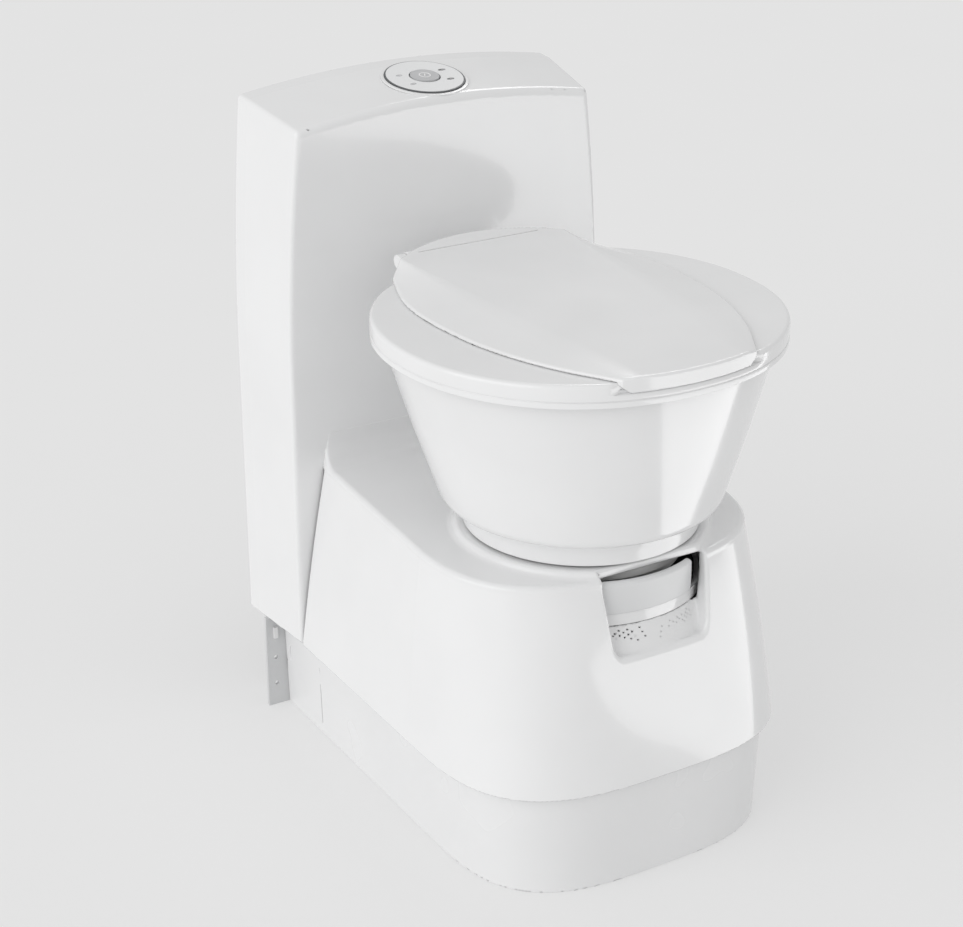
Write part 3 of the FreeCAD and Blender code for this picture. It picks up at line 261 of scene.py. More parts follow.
def noise(tree, where, scale, detail=3.0, stretch=None):
    if stretch is not None:
        turn = tree.nodes.new("ShaderNodeMapping")
        turn.inputs["Scale"].default_value = stretch
        tree.links.new(where, turn.inputs["Vector"])
        where = turn.outputs["Vector"]
    made = tree.nodes.new("ShaderNodeTexNoise")
    made.inputs["Scale"].default_value = scale
    made.inputs["Detail"].default_value = detail
    tree.links.new(where, made.inputs["Vector"])
    return made.outputs["Fac"]


def between(tree, fac, low, high):
    """A value that follows fac between two limits."""
    made = tree.nodes.new("ShaderNodeMapRange")
    made.inputs["From Min"].default_value = 0.3
    made.inputs["From Max"].default_value = 0.7
    made.inputs["To Min"].default_value = low
    made.inputs["To Max"].default_value = high
    tree.links.new(fac, made.inputs["Value"])
    return made.outputs["Result"]


def tinted(tree, fac, colour, drift):
    """A colour that drifts a little darker and lighter with fac."""
    ramp = tree.nodes.new("ShaderNodeValToRGB")
    ramp.color_ramp.elements[0].position = 0.3
    ramp.color_ramp.elements[1].position = 0.7
    ramp.color_ramp.elements[0].color = (*[max(c * (1 - drift), 0) for c in colour], 1)
    ramp.color_ramp.elements[1].color = (*[min(c * (1 + drift), 1) for c in colour], 1)
    tree.links.new(fac, ramp.inputs["Fac"])
    return ramp.outputs["Color"]


def bumped(tree, shader, fac, strength, depth):
    bump = tree.nodes.new("ShaderNodeBump")
    bump.inputs["Strength"].default_value = strength
    bump.inputs["Distance"].default_value = depth
    tree.links.new(fac, bump.inputs["Height"])
    tree.links.new(bump.outputs["Normal"], shader.inputs["Normal"])


def plastic(name, colour, gloss, peel, peel_scale=700.0, drift=0.015, coat=0.0):
    finish, tree, shader, where = new_finish(name)
    slow = noise(tree, where, 9.0, 2.0)
    fine = noise(tree, where, peel_scale, 4.0)
    tree.links.new(tinted(tree, slow, colour, drift), shader.inputs["Base Color"])
    tree.links.new(between(tree, slow, gloss * 0.85, gloss * 1.2), shader.inputs["Roughness"])
    shader.inputs["IOR"].default_value = 1.47
    shader.inputs["Coat Weight"].default_value = coat
    shader.inputs["Coat Roughness"].default_value = 0.06
    bumped(tree, shader, fine, peel, 0.0002)
    return finish


# %% [markdown]
# ## Metal, rubber and hose
# Plated steel shows fine drawn lines, so its noise is squeezed along one direction. Rubber is dull with
# a dusty bloom. The clear hose lets a little light through and has a faint braid, made by a wave texture.

# %% Metal, rubber, hose and board
def steel(name, colour):
    finish, tree, shader, where = new_finish(name)
    drawn = noise(tree, where, 60.0, 5.0, (1.0, 30.0, 30.0))
    shader.inputs["Metallic"].default_value = 1.0
    tree.links.new(tinted(tree, drawn, colour, 0.08), shader.inputs["Base Color"])
    tree.links.new(between(tree, drawn, 0.22, 0.42), shader.inputs["Roughness"])
    bumped(tree, shader, drawn, 0.15, 0.0001)
    return finish


def rubber(name, colour):
    finish, tree, shader, where = new_finish(name)
    bloom = noise(tree, where, 40.0, 6.0)
    fine = noise(tree, where, 1500.0, 3.0)
    tree.links.new(tinted(tree, bloom, colour, 0.25), shader.inputs["Base Color"])
    tree.links.new(between(tree, bloom, 0.55, 0.8), shader.inputs["Roughness"])
    bumped(tree, shader, fine, 0.3, 0.0002)
    return finish


def hose(name, colour):
    finish, tree, shader, where = new_finish(name)
    braid = tree.nodes.new("ShaderNodeTexWave")
    braid.inputs["Scale"].default_value = 120.0
    braid.inputs["Distortion"].default_value = 1.5
    tree.links.new(where, braid.inputs["Vector"])
    tree.links.new(tinted(tree, braid.outputs["Fac"], colour, 0.12), shader.inputs["Base Color"])
    shader.inputs["Roughness"].default_value = 0.3
    shader.inputs["Transmission Weight"].default_value = 0.25
    bumped(tree, shader, braid.outputs["Fac"], 0.3, 0.0003)
    return finish


def board(name, colour):
    finish, tree, shader, where = new_finish(name)
    tracks = tree.nodes.new("ShaderNodeTexVoronoi")
    tracks.distance = "MANHATTAN"
    tracks.inputs["Scale"].default_value = 180.0
    tree.links.new(where, tracks.inputs["Vector"])
    tree.links.new(tinted(tree, tracks.outputs["Distance"], colour, 0.5), shader.inputs["Base Color"])
    shader.inputs["Roughness"].default_value = 0.35
    bumped(tree, shader, tracks.outputs["Distance"], 0.3, 0.0001)
    return finish


# %% The finishes this toilet needs
WHITE = (0.86, 0.862, 0.865)
GLOSS_WHITE = plastic("gloss_white_moulding", WHITE, 0.16, 0.05, coat=0.3)
BASE_WHITE = plastic("base_white_moulding", (0.82, 0.822, 0.825), 0.24, 0.08)
FRAME_GREY = plastic("frame_grey_moulding", (0.64, 0.645, 0.65), 0.5, 0.4, 900.0, 0.05)
TAB_WHITE = plastic("tab_white_moulding", (0.85, 0.85, 0.85), 0.3, 0.1)
LINER_WHITE = plastic("liner_white_glaze", (0.9, 0.9, 0.895), 0.08, 0.02, 300.0, 0.01, 0.6)
HANDLE_GREY = plastic("handle_grey_satin", (0.74, 0.745, 0.75), 0.4, 0.5, 1200.0, 0.03)
RING_GREY = plastic("ring_dark_grey", (0.10, 0.105, 0.11), 0.4, 0.3, 1200.0, 0.05)
PAD_GREY = plastic("pad_light_grey", (0.82, 0.825, 0.83), 0.38, 0.3, 1500.0, 0.02)
BUTTON_GREY = plastic("button_mid_grey", (0.50, 0.505, 0.515), 0.4, 0.3, 1500.0, 0.03)
GLYPH_WHITE = plastic("glyph_white_paint", (0.85, 0.85, 0.85), 0.45, 0.2, 1500.0, 0.02)
LENS_DARK = plastic("lens_dark", (0.03, 0.03, 0.035), 0.15, 0.05, 900.0, 0.2, 0.5)
LENS_FAINT = plastic("lens_faint", (0.50, 0.505, 0.515), 0.25, 0.05, 900.0, 0.05)
INNER_WHITE = plastic("inner_white_moulding", (0.72, 0.72, 0.715), 0.4, 0.25, 800.0, 0.03)
DARK_PLASTIC = plastic("dark_moulding", (0.035, 0.036, 0.04), 0.45, 0.35, 900.0, 0.15)
TANK_BLACK = plastic("tank_black_grain", (0.045, 0.048, 0.052), 0.5, 0.6, 650.0, 0.2)
BLADE_CREAM = plastic("blade_cream", (0.78, 0.775, 0.74), 0.2, 0.05)
WHEEL_GREY = plastic("wheel_grey", (0.13, 0.133, 0.138), 0.55, 0.5, 700.0, 0.1)
GRIP_GREY = plastic("grip_grey", (0.36, 0.365, 0.38), 0.45, 0.5, 900.0, 0.05)
SPOUT_GREY = plastic("spout_dark_grey", (0.09, 0.092, 0.1), 0.45, 0.4, 800.0, 0.12)
CAP_GREY = plastic("cap_light_grey", (0.42, 0.425, 0.44), 0.42, 0.4, 900.0, 0.06)
VENT_GREEN = plastic("vent_green", (0.05, 0.32, 0.11), 0.3, 0.15, 900.0, 0.1)
FLOAT_RED = plastic("float_red", (0.55, 0.035, 0.025), 0.25, 0.1, 900.0, 0.1)
PLATED_STEEL = steel("plated_steel", (0.62, 0.62, 0.63))
SEAL_RUBBER = rubber("seal_rubber", (0.035, 0.035, 0.036))
LEAD_BLACK = rubber("lead_black", (0.02, 0.02, 0.021))
CLEAR_HOSE = hose("clear_hose", (0.62, 0.65, 0.66))
BOARD_GREEN = board("board_green", (0.03, 0.19, 0.08))
print("finishes", len(bpy.data.materials))


# %% [markdown]
# ## The bench cover
# The bench is the white moulding that hides the tank. Seen from above it has a bowed front and straight
# sides that draw in towards the console, it narrows upwards, its top edge is gently rounded, and a cove
# carries the top up into the console's face. A boss rings the neck of the bowl, and a recess in the front
# lets fingers reach the lever.

# %% Outline of the bench
SKIRT_Z = BENCH_LOW[2]
BENCH_Z = 330.0
SKIRT = {"half": 196.65, "depth": 185.3, "centre": -81.6, "power": 3.15, "rear": 196.65}
TOP = {"half": 178.0, "depth": 150.0, "centre": -75.0, "power": 2.6, "rear": 161.0}
BULGE = 2.0
SHELL = 4.0
NECK_HOLE_R = 112.2
LEVER_SWEEP_R = 132.2


def bow_front(x, y, z, low, high, z0, z1, bulge, rear_y):
    """How far a point is outside an outline with a bowed front, which changes from low to high."""
    share = np.clip((z - z0) / (z1 - z0), -0.1, 1.2)
    swell = bulge * np.sin(np.pi * np.clip(share, 0, 1))
    half = low["half"] + (high["half"] - low["half"]) * share + swell
    depth = low["depth"] + (high["depth"] - low["depth"]) * share + swell
    centre = low["centre"] + (high["centre"] - low["centre"]) * share
    power = low["power"] + (high["power"] - low["power"]) * share
    rear = low["rear"] + (high["rear"] - low["rear"]) * share + swell
    ahead = np.maximum(centre - y, 0) / depth
    reach = np.maximum(np.abs(x) / half, 1e-6)
    front = ((reach ** power + ahead ** power) ** (1 / power) - 1) * half
    behind = np.abs(x) - half - (rear - half) * np.maximum(y - centre, 0) / (rear_y - centre)
    return np.where(y < centre, front, behind)


def bench_side(x, y, z):
    return bow_front(x, y, z, SKIRT, TOP, SKIRT_Z, BENCH_Z, BULGE, CONSOLE_LOW[1])


bench_wall = even(bench_side)

# %% The recess for the lever
RECESS_X = 6.0
RECESS_TOP_HALF = 62.0
RECESS_FOOT_HALF = 56.0
RECESS_FOOT_Z = 250.0
RECESS_SIDE_Z = 318.0
RECESS_BACK_Y = -213.0
RAMP_FOOT_Y = -241.0
DECK_LOW, DECK_HIGH = box_mm("support_deck")
DECK_R = 128.5
RAMP_HEAD_Z = DECK_LOW[2] - 0.6


def recess(x, y, z, back_y=RECESS_BACK_Y):
    """Space of the recess: its floor sweeps up to the deck in a hollow curve."""
    share = np.clip((z - RECESS_FOOT_Z) / (RECESS_SIDE_Z - RECESS_FOOT_Z), -0.5, 1)
    half = RECESS_FOOT_HALF + (RECESS_TOP_HALF - RECESS_FOOT_HALF) * share
    reach = np.hypot(x, y - AXIS_Y) - DECK_R
    run = np.clip(reach / (AXIS_Y - DECK_R - RAMP_FOOT_Y + 0.8), -1, 1)
    ramp = RAMP_HEAD_Z - (RAMP_HEAD_Z - RECESS_FOOT_Z) * np.sin(np.pi / 2 * np.maximum(run, 0)) ** 1.2
    floor = (ramp - z) * 0.6
    return np.maximum(round_meet(np.abs(x - RECESS_X) - half, floor, 9.0), y - back_y)


# %% The whole bench
def bench_block(x, y, z, inset=0.0):
    wall = bench_wall(x, y, z) + inset
    rear = y - CONSOLE_LOW[1] - 0.2
    block = round_meet(round_meet(wall, rear, 7.0), z - BENCH_Z + inset, 4.5)
    cove = round_join(z - BENCH_Z + inset, CONSOLE_LOW[1] + 0.6 + inset - y, 28.0)
    cove = np.maximum.reduce([cove, z - 366.0, y - CONSOLE_LOW[1] - 3.0, 325.0 - z])
    return round_join(block, round_meet(wall, cove, 4.0), 3.0)


def bench_rule(x, y, z):
    radius = np.hypot(x, y - AXIS_Y)
    outer = bench_block(x, y, z)
    boss = round_meet(radius - 131.0, z - BENCH_HIGH[2], 3.0)
    boss = np.maximum(boss, BENCH_Z - 4.0 - z)
    outer = round_join(outer, boss, 9.0)
    hollow = bench_block(x, y, z, SHELL)
    hollow = np.where(y > 150.0, np.maximum(bench_wall(x, y, z) + SHELL, z - BENCH_Z + SHELL), hollow)
    deep = recess(x, y, z, -150.0)
    keep_out = np.where(z > DECK_LOW[2], LEVER_SWEEP_R, DECK_R - 4.0)
    lining = np.minimum(SHELL - deep, radius - keep_out)
    hollow = np.maximum(hollow, lining)
    shell = np.maximum(outer, -hollow)
    shell = round_meet(shell, SKIRT_Z - z, 1.5)
    shell = round_meet(shell, NECK_HOLE_R - radius, 1.5)
    return round_meet(shell, -recess(x, y, z), 4.0)


bench = carve("bench_cover_moulding", bench_rule, (-206, -276, 108), (206, 182, 374), 2.2)
fit(bench, "toilet", ["bench_cover"], GLOSS_WHITE)


# %% [markdown]
# ## The plinth
# The bench stands on a pale plinth with the same bowed front, set back under the skirt and drawn in a
# little towards the floor. It is an open tray whose rim carries the bench, with a shallow flat panel on each
# side near the back. Its wall is thin, so its distance is one outline less the same outline moved inwards.

# %% Plinth
PLINTH_LOW, PLINTH_HIGH = box_mm("base_tray")
PLINTH_TOP = 118.0
PLINTH_FOOT = {"half": 177.6, "depth": 164.3, "centre": -92.8, "power": 3.19, "rear": 177.6}
PLINTH_HEAD = {"half": 180.9, "depth": 167.6, "centre": -92.8, "power": 3.19, "rear": 180.9}
LEDGE = {"half": 190.2, "depth": 178.9, "centre": -81.6, "power": 3.15, "rear": 190.2}
PLINTH_WALL = 4.5
PANEL_DEPTH = 0.8
BOLT_X, BOLT_Y, BOLT_R = 150.0, (-110.0, 190.0), 2.9
PANEL_MIDDLE, PANEL_HALF = (198.0, 49.0), (38.0, 35.0)


def plinth_side(x, y, z):
    return bow_front(x, y, z, PLINTH_FOOT, PLINTH_HEAD, 0.0, PLINTH_TOP, 0.0, PLINTH_HIGH[1])


def ledge_side(x, y, z):
    return bow_front(x, y, z, LEDGE, LEDGE, 0.0, PLINTH_TOP, 0.0, PLINTH_HIGH[1])


plinth_wall = even(plinth_side)
ledge_wall = even(ledge_side)


def plinth_rule(x, y, z):
    wall = plinth_wall(x, y, z)
    body = round_meet(round_meet(wall, z - PLINTH_HIGH[2], 0.8), -z, 1.0)
    ledge = round_meet(ledge_wall(x, y, z), np.abs(z - (PLINTH_TOP + PLINTH_HIGH[2]) / 2) - 1.6, 0.8)
    body = round_join(body, ledge, 2.0)
    flat = np.maximum(np.abs(y - PANEL_MIDDLE[0]) - PANEL_HALF[0], np.abs(z - PANEL_MIDDLE[1]) - PANEL_HALF[1])
    body = round_meet(body, -np.maximum(flat, -wall - PANEL_DEPTH), 0.5)
    body = np.maximum(body, -np.maximum(wall + PLINTH_WALL, PLINTH_WALL - z))
    body = np.maximum(body, y - PLINTH_HIGH[1])
    console_room = np.maximum(BENCH_HIGH[1] - 0.3 - y, CONSOLE_LOW[2] - 0.3 - z)
    body = np.maximum(body, -console_room)
    for bolt_y in BOLT_Y:
        body = np.maximum(body, BOLT_R - np.hypot(np.abs(x) - BOLT_X, y - bolt_y))
    return body


plinth = carve("plinth_moulding", plinth_rule, (-196, -266, -3), (196, 254, 126), 2.4)
fit(plinth, "toilet", ["base_tray"], BASE_WHITE)


# %% [markdown]
# ## The console
# The tall box behind the bowl holds the flush water and the controls. Its sides lean in towards the top,
# its top is arched and slopes forward, and a crease sets off the band along the back. It is a hollow
# shell, open at the back, with a passage at the foot for the waste tank.

# %% The console's rule
CONSOLE_Y = (CONSOLE_LOW[1], 266.0, CONSOLE_HIGH[1])
CONSOLE_HALF = (195.0, 203.0, 204.0)
CONSOLE_TAPER = (17.5, 13.5, 13.5)
CONSOLE_CREST = (719.3, 735.0, 736.5)
ARCH = 16.0
CONSOLE_SHELL = 4.5


def console_side(x, y, z):
    half = np.interp(y, CONSOLE_Y, CONSOLE_HALF)
    taper = np.interp(y, CONSOLE_Y, CONSOLE_TAPER)
    crest = np.interp(y, CONSOLE_Y, CONSOLE_CREST) - ARCH
    rise = np.clip((z - 450.0) / (crest - 450.0), 0, 1.2)
    return np.abs(x) - half + taper * rise ** 1.8


def console_top(x, y, z):
    crest = np.interp(y, CONSOLE_Y, CONSOLE_CREST)
    half = np.interp(y, CONSOLE_Y, CONSOLE_HALF) - np.interp(y, CONSOLE_Y, CONSOLE_TAPER)
    return z - crest + ARCH * (x / half) ** 2


console_wall = even(console_side)
console_roof = even(console_top)


def console_rule(x, y, z):
    wall = console_wall(x, y, z)
    roof = console_roof(x, y, z)
    front = CONSOLE_LOW[1] - y
    block = round_meet(round_meet(wall, front, 5.5), round_meet(roof, front, 7.5), 3.5)
    block = round_meet(block, y - CONSOLE_HIGH[1], 1.5)
    hollow = round_meet(round_meet(wall, front, 3.0), round_meet(roof, front, 4.0), 3.0) + CONSOLE_SHELL
    shell = np.maximum(block, -hollow)
    passage = np.maximum.reduce([np.abs(x) - 158.0, z - 322.0, np.abs(y - CONSOLE_LOW[1]) - 12.0])
    tilted = panel_place(x, y, z)
    well = np.maximum(np.hypot(tilted[0], tilted[1]) - 36.0, np.abs(tilted[2]) - 12.0)
    shell = np.maximum(shell, -np.minimum(passage, well))
    return round_meet(shell, CONSOLE_LOW[2] - z, 1.5)


# %% Where the control panel sits
BEZEL_LOW, BEZEL_HIGH = box_mm("control_bezel")
PANEL_TILT = math.atan2(CONSOLE_CREST[1] - CONSOLE_CREST[0], CONSOLE_Y[1] - CONSOLE_Y[0])
PANEL_Y = 221.5
PANEL_Z = 727.7


def panel_place(x, y, z):
    """A point as seen from the panel: across, up the slope, and above its face."""
    dy, dz = y - PANEL_Y, z - PANEL_Z
    return x, dy * math.cos(PANEL_TILT) + dz * math.sin(PANEL_TILT), dz * math.cos(PANEL_TILT) - dy * math.sin(PANEL_TILT)


console = carve("console_moulding", console_rule, (-213, 162, 107), (213, 296, 746), 2.4)
fit(console, "toilet", ["rear_housing"], GLOSS_WHITE)


# %% [markdown]
# ## Turned and drawn rings
# The bowl, its foot and the seat are rings: one profile carried round an oval. For those a grid of points is
# simplest: each row of the grid is one step along the profile and each column one direction round the oval.
# The profile closes on itself, so the mesh is a closed skin with real thickness.

# %% A ring from a profile
COLUMNS = 192


def oval_row(half, depth, centre_y, power, z):
    turn = np.arange(COLUMNS) * 2 * np.pi / COLUMNS
    c, s = np.cos(turn), np.sin(turn)
    reach = (np.abs(c / half) ** power + np.abs(s / depth) ** power) ** (-1 / power)
    return np.stack([reach * c, centre_y + reach * s, np.full(COLUMNS, float(z))], 1)


def ring_mesh(name, rows):
    count = len(rows)
    faces = []
    for r in range(count):
        for c in range(COLUMNS):
            n = (c + 1) % COLUMNS
            faces.append((r * COLUMNS + c, r * COLUMNS + n, (r + 1) % count * COLUMNS + n, (r + 1) % count * COLUMNS + c))
    made = solid_mesh(name, np.concatenate(rows), faces)
    soften = made.modifiers.new("even shading", "WEIGHTED_NORMAL")
    soften.keep_sharp = True
    return made


def rounded(corners, steps=5):
    """A closed profile whose corners (a, b, radius) are turned into short arcs."""
    out = []
    count = len(corners)
    for i in range(count):
        here = np.array(corners[i][:2], float)
        before = np.array(corners[i - 1][:2], float) - here
        after = np.array(corners[(i + 1) % count][:2], float) - here
        radius = corners[i][2]
        if radius == 0:
            out.append(here)
            continue
        before_way = before / np.linalg.norm(before)
        after_way = after / np.linalg.norm(after)
        half = math.acos(np.clip(before_way @ after_way, -1, 1)) / 2
        back = min(radius / math.tan(half), 0.48 * np.linalg.norm(before), 0.48 * np.linalg.norm(after))
        start, end = here + before_way * back, here + after_way * back
        for k in range(steps + 1):
            t = k / steps
            out.append((1 - t) ** 2 * start + 2 * t * (1 - t) * here + t ** 2 * end)
    return out


# %% [markdown]
# ## The bowl and its foot
# The bowl is a cone that starts round at the bottom and opens into the seat's oval at the rim. Its underside
# is flat, with a soft edge, and stands on a short round foot that turns in the bench's boss.

# %% Bowl and foot
RIM_HALF, RIM_DEPTH, RIM_CENTRE = 197.5, 190.0, -87.2
OVAL_POWER = 2.12
BOWL_FOOT_R = 143.8
BOWL_FOOT_Z = FOOT_HIGH[2]
BOWL_RIM_Z = 540.0


def bowl_row(out, z):
    """Row of the bowl at a height, with out millimetres added to its cone."""
    share = np.clip((z - BOWL_FOOT_Z) / (BOWL_RIM_Z - BOWL_FOOT_Z), 0, 1)
    swell = 1.5 * math.sin(math.pi * share)
    half = BOWL_FOOT_R + (RIM_HALF - BOWL_FOOT_R) * share + swell + out
    depth = BOWL_FOOT_R + (RIM_DEPTH - BOWL_FOOT_R) * share + swell + out
    centre = AXIS_Y + (RIM_CENTRE - AXIS_Y) * share
    return oval_row(half, depth, centre, 2 + (OVAL_POWER - 2) * share, z)


bowl_profile = rounded([(-40.0, BOWL_FOOT_Z, 1), (0.0, BOWL_FOOT_Z, 11), (0.0, 453.0, 0), (0.0, BOWL_RIM_Z - 0.5, 1),
                        (-3.2, BOWL_RIM_Z - 0.5, 1), (-3.2, 453.0, 0), (-3.2, BOWL_FOOT_Z + 3.2, 9),
                        (-40.0, BOWL_FOOT_Z + 3.2, 1)], 6)
bowl = ring_mesh("bowl_moulding", [bowl_row(a, z) for a, z in bowl_profile])
fit(bowl, "bowl", ["bowl_shell"], GLOSS_WHITE)

FOOT_R = (FOOT_HIGH[0] - FOOT_LOW[0]) / 2
foot_profile = rounded([(FOOT_R, FOOT_LOW[2], 1.2), (FOOT_R, 350.0, 0), (FOOT_R, 360.0, 0), (FOOT_R + 3.5, BOWL_FOOT_Z + 0.4, 3),
                        (104.0, BOWL_FOOT_Z + 0.4, 1), (104.0, BOWL_FOOT_Z - 3.2, 1), (FOOT_R - 3.2, BOWL_FOOT_Z - 3.2, 3),
                        (FOOT_R - 3.2, FOOT_LOW[2], 1.2)], 4)
foot = ring_mesh("bowl_foot_moulding", [oval_row(r, r, AXIS_Y, 2.0, z) for r, z in foot_profile])
fit(foot, "bowl", ["bowl_foot"], GLOSS_WHITE)


# %% [markdown]
# ## The seat
# The seat is a flat oval ring with a rolled outer edge, a vertical band below it and a fine step line round
# the band. Its hole is rounded too. At the front a shallow notch takes the lip of the lid, and the back is
# relieved underneath so that the hinge's bracket has room.

# %% Seat
SEAT_HALF, SEAT_DEPTH = 207.3, 199.8
SEAT_FOOT_Z, SEAT_TOP_Z = SEAT_LOW[2], 559.0
HOLE_HALF, HOLE_DEPTH, HOLE_Y = 118.0, 138.0, -97.0
LIP_HALF = 79.5
LIP_Z = 548.5


def seat_row(inward, z):
    """Row of the seat: inward 0 is the outer edge and 1 the edge of the hole, and beyond that millimetres count."""
    outer = oval_row(SEAT_HALF, SEAT_DEPTH, RIM_CENTRE, OVAL_POWER, z)
    hole = oval_row(HOLE_HALF, HOLE_DEPTH, HOLE_Y, OVAL_POWER, z)
    across = hole - outer
    width = np.linalg.norm(across[:, :2], axis=1)[:, None]
    way = across / width
    row = outer + way * inward if inward < 60 else hole - way * (200.0 - inward)
    if inward < 60:
        front = (np.abs(outer[:, 0]) < LIP_HALF) & (outer[:, 1] < -200) & (z > LIP_Z) & (inward < 4.8)
        row[front] = (outer + way * 4.8)[front]
    row[:, 2] = np.where((row[:, 1] > 76.0) & (z < 547.0), 547.0 + 0.001 * z, row[:, 2])
    return row


seat_profile = rounded([(0.0, SEAT_FOOT_Z, 0.8), (0.0, 541.4, 0), (0.7, 541.8, 0), (0.7, 542.6, 0), (0.0, 543.0, 0),
                        (0.0, LIP_Z - 0.2, 0), (0.0, LIP_Z + 0.2, 0), (0.0, SEAT_TOP_Z, 7), (45.0, SEAT_TOP_Z, 0),
                        (200.0, SEAT_TOP_Z, 6), (200.0, 545.0, 1), (196.8, 545.0, 1), (196.8, 552.6, 1),
                        (3.2, 552.6, 1), (3.2, SEAT_FOOT_Z, 0.8)], 6)
seat = ring_mesh("seat_moulding", [seat_row(a, z) for a, z in seat_profile])
fit(seat, "seat", [], GLOSS_WHITE)


# %% [markdown]
# ## Hinge eyes
# Seat and lid turn on two pins at the back. Each has a pair of eyes: a short barrel round the pin with an
# arm that reaches into the moulding. The lid's eyes are closed at their outer ends, which hides the pins.

# %% Eyes of the seat and the lid
HINGE_LOW, HINGE_HIGH = box_mm("hinge_block")
HINGE_R = 8.5
HINGE_Y = HINGE_HIGH[1] - HINGE_R
HINGE_Z = HINGE_HIGH[2] - HINGE_R
HINGE_HALF = HINGE_HIGH[0]
PIN_R = 4.05
PIN_START, PIN_END = HINGE_HALF - 30.0, HINGE_HALF + 19.2
EYE_WIDTH = 9.4
CAPPED_WIDTH = 10.6
LID_EYE_R = 7.2


def eye_rule(radius, start, width, arm_low, arm_high, reach):
    """Eyes on both sides, with an arm from the barrel forward to y = reach."""
    def rule(x, y, z):
        side = np.abs(np.abs(x) - start - width / 2) - width / 2
        away = np.hypot(y - HINGE_Y, z - HINGE_Z)
        arm_z = np.interp(y, (reach, HINGE_Y), (arm_low, HINGE_Z - 6.0))
        top_z = np.interp(y, (reach, HINGE_Y), (arm_high, HINGE_Z + 6.0))
        arm = np.maximum.reduce([arm_z - z, z - top_z, reach - y, y - HINGE_Y])
        body = round_join(away - radius, arm, 3.0)
        bore = np.maximum(away - PIN_R, np.abs(x) - PIN_END - 0.3)
        return np.maximum(round_meet(body, side, 1.0), -bore)
    return rule


seat_eye_rule = eye_rule(HINGE_R, HINGE_HALF + 0.6, EYE_WIDTH, 549.0, 558.6, 92.0)
seat_eyes = carve("seat_hinge_eyes", seat_eye_rule, (-100, 88, 540), (100, 132, 580), 1.0)
fit(seat_eyes, "seat", [], GLOSS_WHITE)
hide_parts("seat_ring")
lid_eye_rule = eye_rule(LID_EYE_R, HINGE_HALF + 11.0, CAPPED_WIDTH, 562.0, 573.0, 100.0)
lid_eyes = carve("lid_hinge_eyes", lid_eye_rule, (-108, 96, 548), (108, 132, 584), 1.0)
fit(lid_eyes, "lid", [], GLOSS_WHITE)


def pin_rule(x, y, z):
    away = np.hypot(y - HINGE_Y, z - HINGE_Z) - (PIN_R - 0.05)
    return round_meet(away, np.abs(np.abs(x) - (PIN_START + PIN_END) / 2) - (PIN_END - PIN_START) / 2, 0.8)


pins = carve("hinge_pins_turned", pin_rule, (-96, 112, 559), (96, 126, 573), 0.9)
fit(pins, "bowl", ["hinge_pins"], PLATED_STEEL)


# %% [markdown]
# ## The lid
# The lid is a shallow tray turned upside down. Its top is one flat that falls gently to the front, two
# straight creases bound the flat, and from them a bevel runs down to a thin edge. At the front a lip
# wraps over the seat.

# %% Lid
LID_TOP_REAR, LID_TOP_FRONT = 577.0, 564.5
LID_REAR_Y = 110.0
LID_FRONT_Y = LID_LOW[1]
LID_UNDER = SEAT_TOP_Z + 0.6
LID_EDGE_Z = 563.0
LID_ALONG = (-276.0, -255.0, -230.0, -200.0, -165.0, -130.0, -80.0, -30.0, 10.0, 65.0, 92.0, 112.0)
LID_HALF = (76.0, 88.5, 103.5, 118.0, 131.0, 140.0, 146.5, 148.0, 143.5, 125.5, 114.0, 103.0)
CREASE_ALONG = (-290.0, -261.0, -197.0, -119.0, -37.0, 38.0, 112.0)
CREASE_HALF = (63.0, 67.2, 77.7, 87.0, 92.5, 97.8, 102.0)
LID_LIP_HALF = 82.0
LIP_TAPER = 14.0
REAR_ARC_HALF = 78.0
REAR_ARC_Y = 135.0
REAR_DIAGONAL_Y = 115.0


def curve_through(at, places, values):
    """A smooth curve through the given values, with slopes taken from their neighbours."""
    places, values = np.array(places), np.array(values)
    slopes = np.gradient(values, places)
    k = np.clip(np.searchsorted(places, at) - 1, 0, len(places) - 2)
    gap = places[k + 1] - places[k]
    t = (at - places[k]) / gap
    h00, h10 = 2 * t ** 3 - 3 * t ** 2 + 1, t ** 3 - 2 * t ** 2 + t
    h01, h11 = -2 * t ** 3 + 3 * t ** 2, t ** 3 - t ** 2
    return h00 * values[k] + h10 * gap * slopes[k] + h01 * values[k + 1] + h11 * gap * slopes[k + 1]


def lid_side(x, y, z):
    inner = curve_through(np.clip(y, LID_ALONG[0], LID_ALONG[-1]), LID_ALONG, LID_HALF)
    return np.abs(x) - inner


def seat_edge(x, y, z):
    reach = ((np.abs(x) / SEAT_HALF) ** OVAL_POWER + (np.abs(y - RIM_CENTRE) / SEAT_DEPTH) ** OVAL_POWER)
    return (np.maximum(reach, 1e-9) ** (1 / OVAL_POWER) - 1) * SEAT_DEPTH


lid_outline = even(lid_side)
seat_outline = even(seat_edge)


def lid_rear(x, y, z):
    """The rear edge bows out over the hinge and runs off at an angle towards the corners."""
    bow = REAR_ARC_Y - (REAR_ARC_Y - REAR_DIAGONAL_Y) * (x / REAR_ARC_HALF) ** 2
    run_off = REAR_DIAGONAL_Y - 0.71 * (np.abs(x) - REAR_ARC_HALF)
    return y - np.where(np.abs(x) < REAR_ARC_HALF, bow, run_off)


